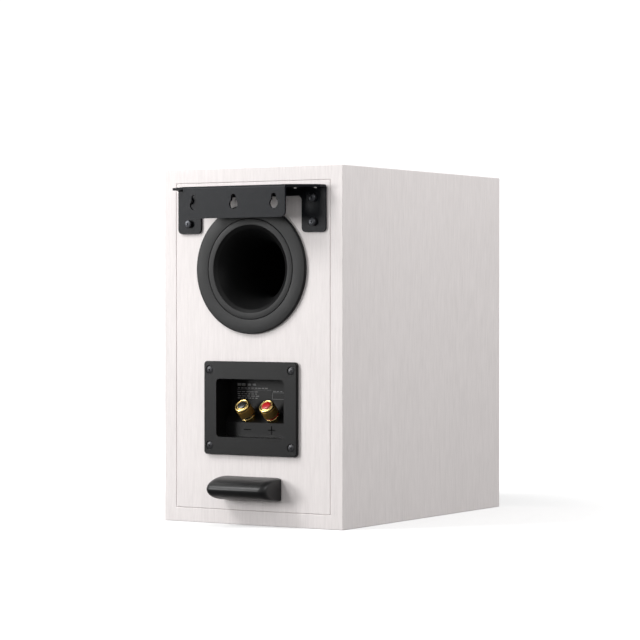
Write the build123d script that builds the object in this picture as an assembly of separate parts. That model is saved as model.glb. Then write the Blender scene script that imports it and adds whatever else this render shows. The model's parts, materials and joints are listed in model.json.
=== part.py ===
"""A two-way bookshelf speaker with a rear port, binding posts and a wall bracket, in millimetres.

The front faces -Y, the rear faces +Y and +Z is up. The origin is the middle of the underside.
Each function below makes one separate piece, and save() writes it as its own node.
"""
from build123d import *
from math import cos, radians, sin, tan
import os

os.makedirs("parts", exist_ok=True)

# ---- cabinet -------------------------------------------------------------------------------
cabinet_width = 180.0
cabinet_height = 302.0
cabinet_depth = 276.0
wrap_thickness = 12.0          # top, bottom and side boards, mitred at the corners
baffle_thickness = 18.0
rear_thickness = 15.0
board_gap = 0.15               # around the two boards that are let into the wrap
board_chamfer = 0.5            # on their outer edges, which shows as a fine groove
brace_thickness = 12.0
brace_rail = 20.0              # width of the brace's frame
brace_setback = 108.0          # from the front face to the brace
pad_thickness = 14.0           # damping wadding on the inner walls
pad_gap = 0.4

# ---- fasteners -----------------------------------------------------------------------------
hole_clearance = 0.05          # radial, round every screw, insert and stud
cross_width_share = 0.2        # a cross recess's arm width, as a share of its head's radius
wood_screw_radius = 1.6
wood_screw_length = 16.0
terminal_head_radius = 3.75
driver_head_radius = 2.8
bracket_head_radius = 3.3
bracket_head_height = 3.4
bracket_screw_radius = 2.0
bracket_screw_length = 12.0
insert_radius = 3.0
insert_length = 12.5

# ---- wall bracket --------------------------------------------------------------------------
sheet = 2.0                    # steel thickness
bracket_drop = 16.2            # from the cabinet's top down to the bracket's top
bracket_width = 148.8
bracket_height = 39.2
bracket_standoff = 28.0        # from the rear face to the outer face of the hanging plate
hanger_width = 102.0
hanger_height = 27.0
crossbar_height = 8.7
shoulder_reach = 10.5          # how far the flange keeps its full width
bend_radius = 0.8              # inside every bend
ear_corner = 4.0
hanger_corner = 4.5
window_corner = 4.0
keyhole_spacing = 40.0
keyhole_radius = 4.2
keyhole_slot_radius = 2.5
keyhole_drop = 15.5            # from the bracket's top to the middle of the round holes
keyhole_rise = 6.0             # from that middle up to the middle of the slot's end
relief_width = 4.0             # slots through the rear bend
relief_places = (44.0, 64.0)
bracket_screw_x = 62.6
bracket_screw_drops = (10.7, 30.7)

# ---- port ----------------------------------------------------------------------------------
port_ring_radius = 54.8
port_groove_radius = 42.6      # where the trim ring meets the tube's boss
port_groove_gap = 0.2
port_lip_radius = 36.9
port_mouth_radius = 34.6
port_lip_depth = 1.6
port_throat_radius = 23.0
port_wall = 2.5
port_length = 125.0            # from the rear face to the inner end
port_flare_length = 40.0
port_end_flare_length = 17.0
port_end_flare_rise = 8.0
port_socket_length = 12.0
port_proud = 3.0
port_ring_gap = 6.0            # from the trim ring up to the bracket's crossbar
port_flange_thickness = 1.2
port_flange_inset = 2.6
port_panel_clearance = 0.6

# ---- terminal plate ------------------------------------------------------------------------
terminal_height = 98.6         # middle of the plate above the underside
terminal_width = 93.4
terminal_tall = 79.2
terminal_corner = 3.0
terminal_proud = 3.5
recess_width = 68.4
recess_tall = 49.5
recess_corner = 3.5
recess_depth = 20.5            # from the rear face to the back wall
recess_wall = 2.2
slope_rise = 9.8               # height of the sloped wall that carries the posts
ledge_tall = 12.1              # height of the upright wall under the slope
plate_screw_x = 41.2
plate_screw_z = 32.2
cutout_clearance = 0.8
gasket_thickness = 0.8
gasket_inset = 3.0
mark_size = 7.2                # the moulded minus and plus signs
mark_bar = 0.9
mark_depth = 0.5

# ---- binding posts -------------------------------------------------------------------------
post_spacing = 24.6
post_tilt = 42.0               # degrees above the level, square to the sloped wall
post_rise = 4.1                # from the slope's foot up to the post's middle
post_radius = 4.0
post_stem_radius = 3.0
post_stem_length = 10.0
post_length = 13.4
running_gap = 0.05             # radial, where a piece turns or slides on another
rest_gap = 0.1                 # between moving pieces where they seat
collar_radius = 6.5
collar_foot_radius = 5.6
collar_foot_height = 1.7
collar_height = 4.2
ring_radius = 6.2
ring_height = 0.9
knob_radius = 6.9
knob_length = 11.3
knob_lip = 1.1
knob_dish_margin = 1.7         # from the knob's rim to its dished end
knob_dish_depth = 0.4
wire_hole_radius = 1.4
socket_radius = 2.05
plug_pin_length = 16.0
plug_head_gap = 0.3            # radial, between the plug's head and the knob's bore
plug_head_height = 3.6
tag_thickness = 0.8
tag_radius = 4.3
tag_width = 3.6
tag_length = 13.0
nut_flat_radius = 5.0
nut_height = 4.0

# ---- lower spacer --------------------------------------------------------------------------
spacer_width = 60.0
spacer_tall = 20.0
spacer_reach = 28.0           # as far as the bracket, so the cabinet hangs upright
spacer_middle = 31.0           # above the underside
spacer_edge = 1.5
spacer_pad_thickness = 0.8
spacer_pad_inset = 1.5

# ---- driver --------------------------------------------------------------------------------
cone_radius = 53.4
surround_width = 8.0
surround_thickness = 0.8
surround_land = 7.0
cone_thickness = 0.8
cone_depth = 36.0
cone_land = 3.0
coil_radius = 19.0
former_thickness = 0.2
winding_thickness = 0.65
winding_length = 14.0
magnet_gap = 0.6               # on each side of the coil
flange_thickness = 3.7
flange_depth = 1.0             # from the front face back to the flange
flange_width = 13.5
driver_gasket_thickness = 0.8
trim_proud = 3.0
trim_overlap = 1.6
basket_wall = 2.5
basket_depth = 55.0            # from the front face to the basket's rear plate
basket_foot_radius = 46.0
basket_window = 32.0
basket_windows = 6
plate_thickness = 5.0
magnet_thickness = 15.0
magnet_radius = 45.0
magnet_bore = 26.0
driver_screws_count = 6
spider_thickness = 0.6
spider_ledge = 6.0
dome_radius = 12.5
dome_height = 4.6
dome_thickness = 0.4
dome_edge = 1.6
tweeter_clearance = 0.7        # between the tweeter and the woofer's former
tweeter_cup_wall = 2.0
tweeter_height = 11.5
tweeter_magnet_height = 5.0
tweeter_plate_height = 2.5
tweeter_coil_length = 3.0

# ---- crossover -----------------------------------------------------------------------------
board_width = 84.0
board_length = 80.0
board_thickness = 1.6
board_standoff = 7.0
board_setback = 128.0          # from the front face to the board's front edge
wire_radius = 1.5

# ---- places that follow from the sizes above -----------------------------------------------
front = -cabinet_depth / 2
rear = cabinet_depth / 2
half_width = cabinet_width / 2
inner_x = half_width - wrap_thickness
inner_top = cabinet_height - wrap_thickness
inner_y = (front + baffle_thickness, rear - rear_thickness)
bracket_top = cabinet_height - bracket_drop
bracket_bottom = bracket_top - bracket_height
window_top = bracket_top - crossbar_height
port_z = window_top - port_ring_gap - port_ring_radius
driver_z = cabinet_height / 2
recess_top = terminal_height + recess_tall / 2
recess_bottom = terminal_height - recess_tall / 2
recess_back = rear - recess_depth
slope_foot_z = recess_bottom + ledge_tall
slope_top_z = slope_foot_z + slope_rise
ledge_y = recess_back + slope_rise * tan(radians(post_tilt))
post_y = ledge_y - post_rise * tan(radians(post_tilt))
post_z = slope_foot_z + post_rise
rear_face_hole = port_lip_radius + port_wall + port_panel_clearance


# ---- shapes that several pieces share ------------------------------------------------------
def block(x_limits, y_limits, z_limits):
    """A box between two limits on each axis."""
    limits = (x_limits, y_limits, z_limits)
    size = [high - low for low, high in limits]
    middle = [(high + low) / 2 for low, high in limits]
    return Pos(*middle) * Box(*size)


def plate(outline, y_low, y_high):
    """An outline in X and Z, made a plate between two faces across Y."""
    return extrude(Pos(0, y_high, 0) * (Plane.XZ * outline), amount=y_high - y_low)


def rod(radius, y_low, y_high, x=0.0, z=0.0):
    """A round bar along Y."""
    return plate(Pos(x, z) * Circle(radius), y_low, y_high)


def turned(outline, z):
    """An outline in radius and Y, turned about the axis along Y at height z."""
    return Pos(0, 0, z) * revolve(outline, Axis.Y)


def polygon(*points):
    """A closed outline with straight sides."""
    return make_face(Polyline(*points, close=True))


def ring(inner, outer, y_low, y_high, z):
    """A flat ring across Y."""
    return turned(polygon((inner, y_low), (outer, y_low), (outer, y_high), (inner, y_high)), z)


def outward(x, y, z, direction=1):
    """A plane whose normal points out of the rear (1) or the front (-1)."""
    return Plane(origin=(x, y, z), x_dir=(1, 0, 0), z_dir=(0, direction, 0))


def cross_recess(head_radius, top, depth):
    """The cutter for a cross recess in a screw head, sunk from top."""
    arm = head_radius * 1.15
    width = head_radius * cross_width_share * 2
    bar = Pos(0, 0, top - depth / 2) * Box(arm, width, depth)
    return bar + Rot(0, 0, 90) * bar


def pan_screw(head_radius, head_height, radius, length):
    """A pan-head screw with its seat at z = 0 and its head above."""
    head = extrude(Circle(head_radius), head_height)
    head = fillet(head.edges().group_by(Axis.Z)[-1], head_height * 0.6)
    head -= cross_recess(head_radius, head_height, head_height * 0.6)
    return head + Pos(0, 0, -length) * extrude(Circle(radius), length)


def flat_screw(head_radius, radius, length):
    """A countersunk screw whose flat head is level with z = 0."""
    sink = head_radius - radius
    outline = polygon((0, 0), (head_radius, 0), (radius, -sink), (radius, -length), (0, -length))
    body = revolve(Plane.XZ * outline, Axis.Z)
    return body - cross_recess(head_radius, 0, sink * 0.8)


def flat_screw_hole(head_radius, radius, length):
    """The cutter for a countersunk screw, one clearance larger all round."""
    head = head_radius + hole_clearance
    shank = radius + hole_clearance
    sink = head - shank
    outline = polygon((0, 1), (head, 1), (head, 0), (shank, -sink), (shank, -length), (0, -length))
    return revolve(Plane.XZ * outline, Axis.Z)


def save(name, *solids):
    """Write one node, which may be a group of separate solids."""
    shape = solids[0] if len(solids) == 1 else Compound(list(solids))
    export_step(shape, f"parts/{name}.step")


# ---- cabinet -------------------------------------------------------------------------------
def wrap_board(corners):
    """One mitred board of the wrap: its four corners in X and Z, along the whole depth."""
    return plate(polygon(*corners), front, rear)


save("cabinet_top", wrap_board([(-half_width, cabinet_height), (half_width, cabinet_height),
                                (inner_x, inner_top), (-inner_x, inner_top)]))
save("cabinet_bottom", wrap_board([(-half_width, 0), (half_width, 0),
                                   (inner_x, wrap_thickness), (-inner_x, wrap_thickness)]))
for side, sign in (("left", -1), ("right", 1)):
    save(f"cabinet_{side}", wrap_board([(sign * half_width, 0),
                                        (sign * half_width, cabinet_height),
                                        (sign * inner_x, inner_top),
                                        (sign * inner_x, wrap_thickness)]))

board_outline = Pos(0, cabinet_height / 2) * Rectangle(
    2 * (inner_x - board_gap), inner_top - wrap_thickness - 2 * board_gap)

basket_radius = cone_radius + surround_width + surround_land
flange_radius = basket_radius + flange_width - surround_land
rebate_radius = flange_radius + 0.4
flange_front = front + flange_depth
flange_back = flange_front + flange_thickness
rebate_floor = flange_back + driver_gasket_thickness
baffle_hole = cone_radius + surround_width + 0.1
driver_screw_circle = (basket_radius + 0.3 + flange_radius) / 2


def driver_screw_places():
    """The middles of the driver's screws on the flange's front face, facing the front."""
    places = PolarLocations(driver_screw_circle, driver_screws_count, 30)
    return [outward(p.position.X, flange_front, driver_z + p.position.Y, -1) for p in places]


def front_baffle():
    """The front board, with a stepped hole for the driver."""
    board = plate(board_outline, front, front + baffle_thickness)
    board = chamfer(board.faces().sort_by(Axis.Y)[0].edges(), board_chamfer)
    board -= rod(rebate_radius, front - 1, rebate_floor, z=driver_z)
    board -= rod(baffle_hole, front, front + baffle_thickness + 1, z=driver_z)
    for place in driver_screw_places():
        board -= place * flat_screw_hole(driver_head_radius, wood_screw_radius, wood_screw_length)
    return board


bracket_screw_spots = [(sign * bracket_screw_x, bracket_top - drop)
                       for sign in (-1, 1) for drop in bracket_screw_drops]
plate_screw_spots = [(i * plate_screw_x, terminal_height + j * plate_screw_z)
                     for i in (-1, 1) for j in (-1, 1)]
terminal_face = rear + terminal_proud


def rear_panel():
    """The rear board, with holes for the port, the terminal plate and the inserts."""
    board = plate(board_outline, rear - rear_thickness, rear)
    board = chamfer(board.faces().sort_by(Axis.Y)[-1].edges(), board_chamfer)
    board -= rod(rear_face_hole, rear - rear_thickness - 1, rear + 1, z=port_z)
    margin = 2 * (recess_wall + cutout_clearance)
    cutout = Pos(0, terminal_height) * Rectangle(recess_width + margin, recess_tall + margin)
    board -= plate(cutout, rear - rear_thickness - 1, rear + 1)
    for x, z in bracket_screw_spots:
        board -= rod(insert_radius + hole_clearance, rear - insert_length - 0.5, rear + 1, x, z)
    for x, z in plate_screw_spots:
        board -= rod(wood_screw_radius + hole_clearance,
                     terminal_face - wood_screw_length, rear + 1, x, z)
    return board


def internal_brace():
    """A frame with two windows that ties the side boards together behind the driver."""
    y_low = front + brace_setback
    outer_x = inner_x - board_gap
    frame = block((-outer_x, outer_x), (y_low, y_low + brace_thickness),
                  (wrap_thickness + board_gap, inner_top - board_gap))
    low_window = (wrap_thickness + brace_rail, driver_z - brace_thickness / 2)
    high_window = (driver_z + brace_thickness / 2, inner_top - brace_rail)
    for window in (low_window, high_window):
        frame -= block((brace_rail - outer_x, outer_x - brace_rail),
                       (y_low - 1, y_low + brace_thickness + 1), window)
    return frame


pad_y = (front + brace_setback + brace_thickness + 2, inner_y[1] - 12)


def damping_pad(side):
    """Wadding on one side wall, behind the brace."""
    near = inner_x - pad_gap
    x_limits = sorted((side * near, side * (near - pad_thickness)))
    return block(x_limits, pad_y, (wrap_thickness + 30, inner_top - 35))


save("front_baffle", front_baffle())
save("rear_panel", rear_panel())
save("internal_brace", internal_brace())
save("damping_pads", damping_pad(-1), damping_pad(1),
     block((12 - inner_x, inner_x - 12), pad_y,
           (inner_top - pad_gap - pad_thickness, inner_top - pad_gap)))


# ---- port ----------------------------------------------------------------------------------
port_face = rear + port_proud
port_end = rear - port_length


def flare(mouth, throat, y_mouth, y_throat):
    """A smooth curve that leaves the throat straight and opens towards the mouth."""
    run = y_mouth - y_throat
    rise = mouth - throat
    return Bezier((mouth, y_mouth), (throat + rise * 0.3, y_mouth - run * 0.28),
                  (throat, y_mouth - run * 0.6), (throat, y_throat))


def port_tube():
    """The moulded tube: a flange, a flared mouth and a straight throat."""
    lip_y = port_face - port_lip_depth
    throat_y = lip_y - port_flare_length
    tube_end = port_end + port_end_flare_length
    flange_r = port_ring_radius - port_flange_inset
    boss_r = port_groove_radius - port_groove_gap / 2
    flange_y = rear + port_flange_thickness
    inside = [Line((port_lip_radius, port_face), (port_mouth_radius, lip_y)),
              flare(port_mouth_radius, port_throat_radius, lip_y, throat_y),
              Line((port_throat_radius, throat_y), (port_throat_radius, tube_end))]
    outside_r = port_throat_radius + port_wall
    mouth_r = port_lip_radius + port_wall
    outside = [Line((port_throat_radius, tube_end), (outside_r, tube_end)),
               Line((outside_r, tube_end), (outside_r, throat_y)),
               flare(mouth_r, outside_r, rear, throat_y)]
    boss = Polyline((mouth_r, rear), (flange_r, rear), (flange_r, flange_y), (boss_r, flange_y),
                    (boss_r, port_face), (port_lip_radius, port_face))
    return turned(make_face(inside + outside + [boss]), port_z)


def port_trim_ring():
    """The flat ring round the port, rebated over the tube's flange."""
    inner = port_groove_radius + port_groove_gap / 2
    flange_r = port_ring_radius - port_flange_inset + hole_clearance
    flange_y = rear + port_flange_thickness + hole_clearance
    edge = 0.6
    return turned(polygon((flange_r, rear), (port_ring_radius, rear),
                          (port_ring_radius, port_face - edge),
                          (port_ring_radius - edge, port_face), (inner, port_face),
                          (inner, flange_y), (flange_r, flange_y)), port_z)


def port_inner_flare():
    """The flared end that is glued over the tube's inner end."""
    tube_end = port_end + port_end_flare_length
    socket_r = port_throat_radius + port_wall + hole_clearance
    outer_r = socket_r + port_wall
    socket_y = tube_end + port_socket_length
    end_r = port_throat_radius + port_end_flare_rise
    mid_y = (tube_end + port_end) / 2
    inside = Bezier((port_throat_radius, tube_end), (port_throat_radius, mid_y),
                    (end_r - port_end_flare_rise * 0.4, port_end + 2), (end_r, port_end))
    outside = Bezier((end_r + port_wall, port_end), (end_r, mid_y), (outer_r, mid_y),
                     (outer_r, tube_end))
    lip = Line((end_r, port_end), (end_r + port_wall, port_end))
    socket = Polyline((outer_r, tube_end), (outer_r, socket_y), (socket_r, socket_y),
                      (socket_r, tube_end), (port_throat_radius, tube_end))
    return turned(make_face([inside, lip, outside, socket]), port_z)


save("port_tube", port_tube())
save("port_trim_ring", port_trim_ring())
save("port_inner_flare", port_inner_flare())


# ---- terminal plate ------------------------------------------------------------------------
def post_frame(x):
    """The plane square to one post, with its origin on the sloped wall."""
    tilt = radians(post_tilt)
    return Plane(origin=(x, post_y, post_z), x_dir=(1, 0, 0), z_dir=(0, cos(tilt), sin(tilt)))


def cup_section(spare):
    """The recess seen from the side, in Y and Z, grown by spare."""
    mouth = terminal_face + 1
    section = polygon((mouth, recess_top), (recess_back, recess_top), (recess_back, slope_top_z),
                      (ledge_y, slope_foot_z), (ledge_y, recess_bottom), (mouth, recess_bottom))
    return offset(section, spare, kind=Kind.INTERSECTION) if spare else section


def cup(spare):
    """The recess as a solid, with rounded corners, grown by spare."""
    width = recess_width + 2 * spare
    outline = Pos(0, terminal_height) * RectangleRounded(
        width, recess_tall + 2 * spare, recess_corner + spare)
    across = extrude(Plane.YZ * cup_section(spare), amount=width / 2, both=True)
    return across & plate(outline, recess_back - spare - 1, terminal_face + 1)


def terminal_plate():
    """The moulded plate: a flat flange round a recess with a sloped wall for the posts."""
    outline = Pos(0, terminal_height) * RectangleRounded(
        terminal_width, terminal_tall, terminal_corner)
    flange = plate(outline, rear, terminal_face)
    flange = chamfer(flange.faces().sort_by(Axis.Y)[-1].edges(), 0.5)
    behind = block((-terminal_width, terminal_width), (recess_back - 10, terminal_face - 0.5),
                   (0, 2 * terminal_height))
    body = flange + (cup(recess_wall) & behind) - cup(0)
    rebate = Pos(0, terminal_height) * RectangleRounded(
        terminal_width - 2 * gasket_inset, terminal_tall - 2 * gasket_inset, 1.0)
    rebate -= Pos(0, terminal_height) * RectangleRounded(
        recess_width + 2 * recess_wall, recess_tall + 2 * recess_wall,
        recess_corner + recess_wall)
    body -= plate(rebate, rear, rear + gasket_thickness)
    for x, z in plate_screw_spots:
        body -= outward(x, terminal_face, z) * flat_screw_hole(
            terminal_head_radius, wood_screw_radius, wood_screw_length)
    for x in (-post_spacing / 2, post_spacing / 2):
        hole = extrude(Circle(post_stem_radius + hole_clearance), recess_wall * 2, both=True)
        body -= post_frame(x) * hole
    mark_z = recess_bottom + ledge_tall / 2
    for x in (-post_spacing / 2, post_spacing / 2):
        body -= plate(Pos(x, mark_z) * Rectangle(mark_size, mark_bar),
                      ledge_y - mark_depth, ledge_y + 1)
    body -= plate(Pos(-post_spacing / 2, mark_z) * Rectangle(mark_bar, mark_size),
                  ledge_y - mark_depth, ledge_y + 1)
    return body


def terminal_gasket():
    """The foam seal in the plate's rebate."""
    seal = Pos(0, terminal_height) * RectangleRounded(
        terminal_width - 2 * gasket_inset - 0.2, terminal_tall - 2 * gasket_inset - 0.2, 1.0)
    margin = 2 * (recess_wall + cutout_clearance)
    seal -= Pos(0, terminal_height) * Rectangle(recess_width + margin, recess_tall + margin)
    body = plate(seal, rear, rear + gasket_thickness)
    for x, z in plate_screw_spots:
        body -= rod(wood_screw_radius + hole_clearance, rear - 1, rear + 2, x, z)
    return body


save("terminal_plate", terminal_plate())
save("terminal_gasket", terminal_gasket())
save("terminal_screws", *[outward(x, terminal_face, z) * flat_screw(
    terminal_head_radius, wood_screw_radius, wood_screw_length - 1)
    for x, z in plate_screw_spots])


# ---- binding posts, modelled along +Z from the sloped wall ----------------------------------
ring_low = collar_height + rest_gap
knob_low = ring_low + ring_height + rest_gap
knob_top = knob_low + knob_length
knob_bore = post_radius + running_gap
plug_radius = knob_bore - plug_head_gap
pin_radius = socket_radius - running_gap
plug_low = post_length + rest_gap


def tube(outer, inner, low, high):
    """A round sleeve along Z."""
    return Pos(0, 0, low) * extrude(Circle(outer) - Circle(inner), high - low)


def binding_post():
    """The fixed gold stud, with its socket and the cross hole for bare wire."""
    body = Pos(0, 0, -post_stem_length) * extrude(Circle(post_stem_radius), post_stem_length)
    body += extrude(Circle(post_radius), post_length)
    socket = plug_pin_length + 1
    body -= Pos(0, 0, post_length - socket) * extrude(Circle(socket_radius), socket + 1)
    hole = Pos(0, 0, collar_height + wire_hole_radius + 1) * Rot(0, 90, 0)
    return body - hole * Cylinder(wire_hole_radius, 4 * post_radius)


def post_collar():
    """The two-step gold collar that seats the post on the slope."""
    bore = post_radius + hole_clearance
    foot = tube(collar_foot_radius, bore, 0, collar_foot_height)
    head = tube(collar_radius, bore, collar_foot_height, collar_height)
    head = chamfer(head.edges().filter_by(GeomType.CIRCLE).sort_by(Edge.length)[-2:], 0.4)
    return foot + head


def post_knob():
    """The clamping knob: a bored barrel with a rounded lip and a dished end."""
    top = knob_top
    dish_r = knob_radius - knob_dish_margin
    barrel = extrude(Circle(knob_radius), knob_length)
    barrel = fillet(barrel.edges().group_by(Axis.Z)[-1], knob_lip)
    barrel = chamfer(barrel.edges().group_by(Axis.Z)[0], 0.4)
    body = Pos(0, 0, knob_low) * barrel
    body -= Pos(0, 0, knob_low - 1) * extrude(Circle(knob_bore), knob_length + 2)
    dish = polygon((0, top), (dish_r, top), (knob_bore, top - knob_dish_depth),
                   (0, top - knob_dish_depth))
    return body - revolve(Plane.XZ * dish, Axis.Z)


def socket_plug():
    """The coloured plug that fills the post's socket."""
    head = extrude(Circle(plug_radius), plug_head_height)
    head = fillet(head.edges().group_by(Axis.Z)[-1], 0.35)
    pin = Pos(0, 0, plug_low - plug_pin_length) * extrude(Circle(pin_radius), plug_pin_length)
    return Pos(0, 0, plug_low) * head + pin


def solder_tag():
    """A ring tag behind the sloped wall, with its tail pointing up."""
    low = -recess_wall - tag_thickness
    outline = Circle(tag_radius) + Pos(0, -tag_length / 2) * Rectangle(tag_width, tag_length)
    outline -= Circle(post_stem_radius + hole_clearance)
    return Pos(0, 0, low) * extrude(outline, tag_thickness)


def hex_nut():
    """The nut that holds the post, with one flat facing down the slope."""
    low = -recess_wall - tag_thickness - nut_height
    outline = RegularPolygon(nut_flat_radius, 6, major_radius=False)
    return Pos(0, 0, low) * extrude(outline - Circle(post_stem_radius + hole_clearance), nut_height)


post_frames = {"negative": post_frame(post_spacing / 2), "positive": post_frame(-post_spacing / 2)}
for pole, frame in post_frames.items():
    save(f"{pole}_post", frame * binding_post())
    save(f"{pole}_collar", frame * post_collar())
    save(f"{pole}_ring", frame * tube(ring_radius, knob_bore, ring_low, ring_low + ring_height))
    save(f"{pole}_knob", frame * post_knob())
    save(f"{pole}_socket_plug", frame * socket_plug())
save("post_solder_tags", *[frame * solder_tag() for frame in post_frames.values()])
save("post_nuts", *[frame * hex_nut() for frame in post_frames.values()])


# ---- wall bracket --------------------------------------------------------------------------
def keyhole(x):
    """A keyhole outline: a round hole with a slot above it."""
    z = bracket_top - keyhole_drop
    hole = Pos(x, z) * Circle(keyhole_radius)
    hole += Pos(x, z + keyhole_rise / 2) * Rectangle(2 * keyhole_slot_radius, keyhole_rise)
    return hole + Pos(x, z + keyhole_rise) * Circle(keyhole_slot_radius)


def wall_bracket():
    """One bent sheet: a plate with two ears, a flange and the hanging plate."""
    outer = rear + bracket_standoff
    back = Pos(0, (bracket_top + bracket_bottom) / 2) * Rectangle(bracket_width, bracket_height)
    window_height = window_top - bracket_bottom
    window = Pos(0, window_top - window_height / 2) * Rectangle(hanger_width, window_height)
    window = fillet(window.vertices().group_by(Axis.Y)[-1], window_corner)
    back -= window
    back = fillet(back.vertices().group_by(Axis.Y)[0], ear_corner)
    hanger = Pos(0, bracket_top - hanger_height / 2) * Rectangle(hanger_width, hanger_height)
    hanger = fillet(hanger.vertices().group_by(Axis.Y)[0], hanger_corner)
    for x in (-keyhole_spacing, 0, keyhole_spacing):
        hanger -= keyhole(x)
    half_back, half_front = bracket_width / 2, hanger_width / 2
    shoulder = rear + shoulder_reach
    shelf = polygon((-half_back, rear), (half_back, rear), (half_back, shoulder),
                    (half_front, outer - sheet), (half_front, outer), (-half_front, outer),
                    (-half_front, outer - sheet), (-half_back, shoulder))
    body = plate(back, rear, rear + sheet)
    body += plate(hanger, outer - sheet, outer)
    body += Pos(0, 0, bracket_top - sheet) * extrude(shelf, sheet)
    bends = [(rear, bracket_top, bend_radius + sheet),
             (outer, bracket_top, bend_radius + sheet),
             (rear + sheet, bracket_top - sheet, bend_radius),
             (outer - sheet, bracket_top - sheet, bend_radius)]
    for y, z, radius in bends:
        near = [edge for edge in body.edges().filter_by(Axis.X)
                if abs(edge.center().Y - y) < 0.01 and abs(edge.center().Z - z) < 0.01]
        body = fillet(near, radius)
    for place in relief_places:
        for x in (-place, place):
            body -= block((x - relief_width / 2, x + relief_width / 2),
                          (rear - 1, rear + 2.4 * sheet),
                          (bracket_top - 1.4 * sheet, bracket_top + 1))
    for x, z in bracket_screw_spots:
        body -= rod(bracket_screw_radius + 0.3, rear - 1, rear + sheet + 1, x, z)
    return body


save("wall_bracket", wall_bracket())
save("bracket_screws", *[outward(x, rear + sheet, z) * pan_screw(
    bracket_head_radius, bracket_head_height, bracket_screw_radius, bracket_screw_length)
    for x, z in bracket_screw_spots])
save("bracket_inserts", *[
    rod(insert_radius, rear - insert_length, rear, x, z)
    - rod(bracket_screw_radius + hole_clearance, rear - insert_length - 1, rear + 1, x, z)
    for x, z in bracket_screw_spots])


# ---- lower spacer --------------------------------------------------------------------------
def lower_spacer():
    """The rubber bullnose that keeps the cabinet's foot off the wall."""
    half = spacer_tall / 2
    low = rear + spacer_pad_thickness
    tip = rear + spacer_reach
    reach = tip - low
    nose = [Line((low, half), (low + 0.05 * reach, half)),
            Bezier((low + 0.05 * reach, half), (low + 0.48 * reach, half),
                   (tip, 0.4 * half), (tip, 0))]
    below = [curve.mirror(Plane.XZ) for curve in nose]
    back = Line((low, -half), (low, half))
    section = make_face(nose + below + [back])
    body = extrude(Plane.YZ * section, amount=spacer_width / 2, both=True)
    ends = body.faces().filter_by(Plane.YZ)
    rims = [edge for face in ends for edge in face.edges() if edge.center().Y > low + 0.01]
    return Pos(0, 0, spacer_middle) * fillet(rims, spacer_edge)


save("lower_spacer", lower_spacer())
save("spacer_adhesive_pad", plate(
    Pos(0, spacer_middle) * RectangleRounded(
        spacer_width - 2 * spacer_pad_inset, spacer_tall - 2 * spacer_pad_inset, 2.0),
    rear, rear + spacer_pad_thickness))


# ---- driver --------------------------------------------------------------------------------
land_back = flange_front + surround_thickness + 0.1
land_front = land_back - 0.05 - surround_thickness
surround_outer = cone_radius + surround_width
surround_inner = cone_radius
cone_rim_y = land_back
former_outer = coil_radius + former_thickness
neck_y = cone_rim_y + cone_depth
basket_back = front + basket_depth
top_plate_back = basket_back + plate_thickness
magnet_back = top_plate_back + magnet_thickness
yoke_back = magnet_back + plate_thickness
gap_outer = former_outer + winding_thickness + magnet_gap
pole_radius = coil_radius - magnet_gap
pole_front = basket_back - 2
spider_y = basket_back - 10
tweeter_radius = coil_radius - tweeter_clearance
tweeter_front = pole_front - tweeter_height


def driver_basket():
    """The cast frame: a flange, a windowed cone and a rear plate."""
    step = land_back
    throat = surround_outer + 0.3
    shell = throat - 1.5
    foot = basket_foot_radius
    ledge = foot - basket_wall - spider_ledge + 1
    body = turned(polygon(
        (basket_radius + 0.3, flange_front), (flange_radius, flange_front),
        (flange_radius, flange_back), (shell, flange_back), (shell, flange_back + 3),
        (foot, spider_y), (foot, basket_back), (gap_outer + 0.5, basket_back),
        (gap_outer + 0.5, basket_back - 4), (ledge, basket_back - 4), (ledge, spider_y),
        (foot - basket_wall, spider_y), (shell - basket_wall, flange_back + 2),
        (throat - 1, step), (basket_radius + 0.3, step)), driver_z)
    cutter = block((-basket_window / 2, basket_window / 2),
                   (flange_back + 7, spider_y - 4), (foot - 10, flange_radius + 5))
    cutter = fillet(cutter.edges().filter_by(Axis.Z), 5)
    for turn in range(basket_windows):
        body -= Pos(0, 0, driver_z) * Rot(0, 360 / basket_windows * turn, 0) * cutter
    for place in driver_screw_places():
        body -= place * flat_screw_hole(driver_head_radius, wood_screw_radius, wood_screw_length)
    return body


def driver_gasket():
    """The foam ring under the driver's flange."""
    body = ring(baffle_hole + 0.5, flange_radius, flange_back, rebate_floor, driver_z)
    for place in driver_screw_places():
        body -= place * flat_screw_hole(driver_head_radius, wood_screw_radius, wood_screw_length)
    return body


def driver_trim_ring():
    """The satin ring that covers the flange and its screws."""
    inner = surround_outer + 3.6
    outer = rebate_radius + trim_overlap
    tip = front - trim_proud
    lip = rebate_radius - 0.2
    return turned(polygon(
        (inner, flange_front), (lip, flange_front), (lip, front), (outer, front),
        (outer, front - 1), (outer - 2, tip), (inner + 1.5, tip), (inner, tip + 1.5)), driver_z)


def woofer_surround():
    """The rubber half-roll between the cone and the frame."""
    middle_r = (surround_inner + surround_outer) / 2
    middle_y = land_front + surround_thickness / 2
    mean = surround_width / 2
    roll = Pos(middle_r, middle_y) * (Circle(mean + surround_thickness / 2)
                                      - Circle(mean - surround_thickness / 2))
    roll &= Pos(middle_r, middle_y - mean) * Rectangle(4 * mean, 2 * mean)
    outer_land = Pos((surround_outer + basket_radius) / 2, middle_y) * Rectangle(
        surround_land + 0.6, surround_thickness)
    inner_land = Pos(surround_inner - cone_land / 2, middle_y) * Rectangle(
        cone_land + 0.6, surround_thickness)
    return turned(roll + outer_land + inner_land, driver_z)


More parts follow.
